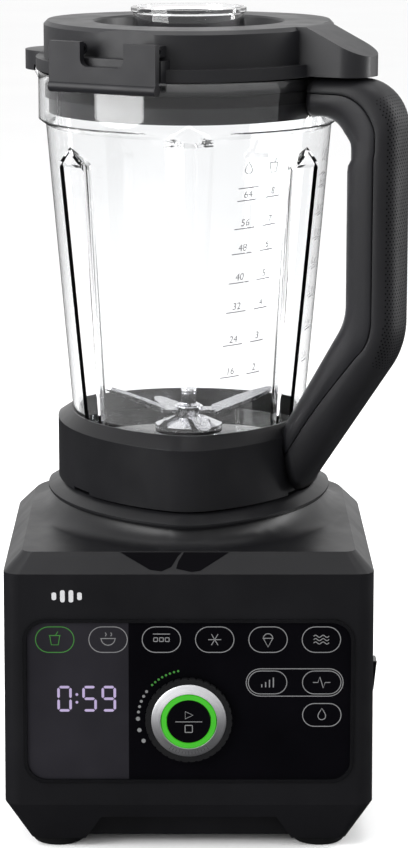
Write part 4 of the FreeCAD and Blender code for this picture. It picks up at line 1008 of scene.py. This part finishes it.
def make_handle():
    for part, name, node, material, slot_name in (
            (0, "handle_carrier", "handle_shell", SHELL, "lid_black"),
            (1, "handle_soft_grip", "handle_grip", GRIP, "grip_soft")):
        sections = [handle_ring(k, part) for k in range(len(INNER))]
        obj = mesh_object(name, *swept(sections))
        recalc_normals(obj)
        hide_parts(node)
        finish_piece(obj, "jug_set", material)
        edge = obj.modifiers.new("normals", "WEIGHTED_NORMAL")
        edge.keep_sharp = False


def grip_surface(share, angle):
    """Point on the grip's outer surface; share runs along the stations."""
    k = min(int(share), len(INNER) - 2)
    both = []
    for j in (k, k + 1):
        inner, outer, _ = handle_station(j)
        half = (outer - inner).length / 2
        c, s = math.cos(angle), math.sin(angle)
        t = math.copysign(abs(c) ** (2 / SQUARENESS), c) * HALF_WIDTH
        n = math.copysign(abs(s) ** (2 / SQUARENESS), s) * half
        flat = (inner + outer) / 2 + (outer - inner).normalized() * n
        both.append(polar(flat.x, HANDLE_PHI, flat.y, t))
    return both[0].lerp(both[1], share - k)


DIMPLE_STEP = 2.15
DIMPLE_R = 0.46
DIMPLE_FIRST, DIMPLE_LAST = 44.0, 190.0
DIMPLE_SPREAD = 52.0


def make_grip_dimples():
    """Staggered rows of small dark discs round the outward side of the grip: painted shade standing
    for the hollows of dimples.
    """
    verts, faces = [], []
    sides = 8
    lengths = [0.0]
    for k in range(len(OUTER) - 1):
        lengths.append(lengths[-1] + (OUTER[k + 1] - OUTER[k]).length)
    row = 0
    along = DIMPLE_FIRST
    while along < DIMPLE_LAST:
        k = max(i for i in range(len(lengths)) if lengths[i] <= along)
        share = k + (along - lengths[k]) / (lengths[k + 1] - lengths[k])
        edge = min(1.0, (along - DIMPLE_FIRST + 3) / 12, (DIMPLE_LAST - along + 3) / 12)
        # Walk round the section at a constant spacing
        across = [grip_surface(share, math.radians(90 + a)) for a in range(-60, 61)]
        run = [0.0]
        for a, b in zip(across, across[1:]):
            run.append(run[-1] + (b - a).length / MM)
        middle = run[60] + (DIMPLE_STEP / 2 if row % 2 else 0.0)
        for step in range(-12, 13):
            want = middle + step * DIMPLE_STEP
            place = next((i for i in range(len(run) - 1) if run[i] <= want < run[i + 1]), None)
            if place is None:
                continue
            degrees = place - 60 + (want - run[place]) / (run[place + 1] - run[place])
            if abs(degrees) > DIMPLE_SPREAD:
                continue
            a = math.radians(90 + degrees)
            p = grip_surface(share, a)
            u = (grip_surface(share, a + 0.01) - p).normalized()
            v = (grip_surface(share + 0.2, a) - p).normalized()
            normal = u.cross(v).normalized()
            if normal.dot(p - polar(108, HANDLE_PHI, p.z / MM)) < 0:
                normal = -normal
            w = normal.cross(u)
            r = DIMPLE_R * MM * (0.6 + 0.4 * edge)
            base = len(verts)
            for lift, scale in ((0.00001, 1.0), (0.00005, 0.8)):
                for s in range(sides):
                    b = 2 * math.pi * s / sides
                    verts.append(p + (u * math.cos(b) + w * math.sin(b)) * r * scale + normal * lift)
            for s in range(sides):
                n = (s + 1) % sides
                faces.append((base + s, base + n, base + sides + n, base + sides + s))
            faces.append(tuple(range(base + sides, base + 2 * sides)))
            faces.append(tuple(reversed(range(base, base + sides))))
        along += DIMPLE_STEP * 0.8
        row += 1
    obj = mesh_object("grip_dimple_shade_discs", verts, faces)
    recalc_normals(obj)
    finish_piece(obj, "jug_set", DIMPLE_SHADE, smooth=False)


make_handle()
make_grip_dimples()

# ---------------------------------------------------------------------------
# Floor, light and camera
# ---------------------------------------------------------------------------
def make_stage():
    """Pale floor, hidden from glossy reflections."""
    half = 14.0
    outline = [(-half, -half, 0), (half, -half, 0), (half, half, 0), (-half, half, 0)]
    floor = mesh_object("floor", outline, [(0, 1, 2, 3)])
    mat, tree, shader, coords = new_material("floor_white")
    tone = ramp(tree, noise(tree, coords, 3.0), (0.955, 0.955, 0.958), (0.975, 0.975, 0.975))
    tree.links.new(tone, shader.inputs["Base Color"])
    shader.inputs["Roughness"].default_value = 0.9
    shader.inputs["Specular IOR Level"].default_value = 0.1
    floor.data.materials.append(mat)
    floor.visible_glossy = False


def area_light(name, place, aim, size, power):
    """Soft rectangular light at a place, turned to its aim; size is width and height."""
    data = bpy.data.lights.new(name, "AREA")
    data.shape = "RECTANGLE"
    data.size, data.size_y = size
    data.energy = power
    obj = bpy.data.objects.new(name, data)
    obj.location = place
    obj.rotation_euler = (Vector(aim) - Vector(place)).to_track_quat("-Z", "Y").to_euler()
    bpy.context.scene.collection.objects.link(obj)


DARK_BELOW = (-0.085, -0.045)    # sine of the angle to the horizon: fully dark, fully white


def make_world():
    """White surroundings that turn dark a little below the horizon."""
    world = bpy.data.worlds.new("studio")
    world.use_nodes = True
    tree = world.node_tree
    background = tree.nodes["Background"]
    direction = tree.nodes.new("ShaderNodeTexCoord")
    parts = tree.nodes.new("ShaderNodeSeparateXYZ")
    tree.links.new(direction.outputs["Generated"], parts.inputs["Vector"])
    # Dark below the horizon, as over a studio floor that glossy reflections do not see
    height = tree.nodes.new("ShaderNodeMapRange")
    height.inputs["From Min"].default_value, height.inputs["From Max"].default_value = DARK_BELOW
    tree.links.new(parts.outputs["Z"], height.inputs["Value"])
    sky = ramp(tree, height.outputs["Result"], (0.05, 0.05, 0.052), (1.0, 1.0, 1.0), 0.0, 1.0)
    tree.links.new(sky, background.inputs["Color"])
    background.inputs["Strength"].default_value = 1.0
    bpy.context.scene.world = world


CAMERA_PLACE = (0.0, -1.522, 0.535)
CAMERA_DOWN, CAMERA_LENS = 12.1, 121.4    # degrees below level, millimetres


def make_camera():
    data = bpy.data.cameras.new("camera")
    data.sensor_width = 36.0
    data.lens = CAMERA_LENS
    data.shift_x = 0.018
    data.clip_end = 60.0
    obj = bpy.data.objects.new("camera", data)
    obj.location = CAMERA_PLACE
    obj.rotation_euler = (math.radians(90 - CAMERA_DOWN), 0, 0)
    bpy.context.scene.collection.objects.link(obj)
    bpy.context.scene.camera = obj


make_stage()
make_world()
area_light("key_left", (-1.0, -0.55, 0.75), (0, 0, 0.3), (0.9, 1.1), 22)
area_light("rim_right", (1.1, 0.25, 0.6), (0, 0, 0.25), (0.25, 1.1), 10)
area_light("top", (0.0, 0.25, 1.5), (0, 0, 0.4), (1.0, 0.8), 12)
bpy.context.scene.view_settings.view_transform = "Standard"
make_camera()
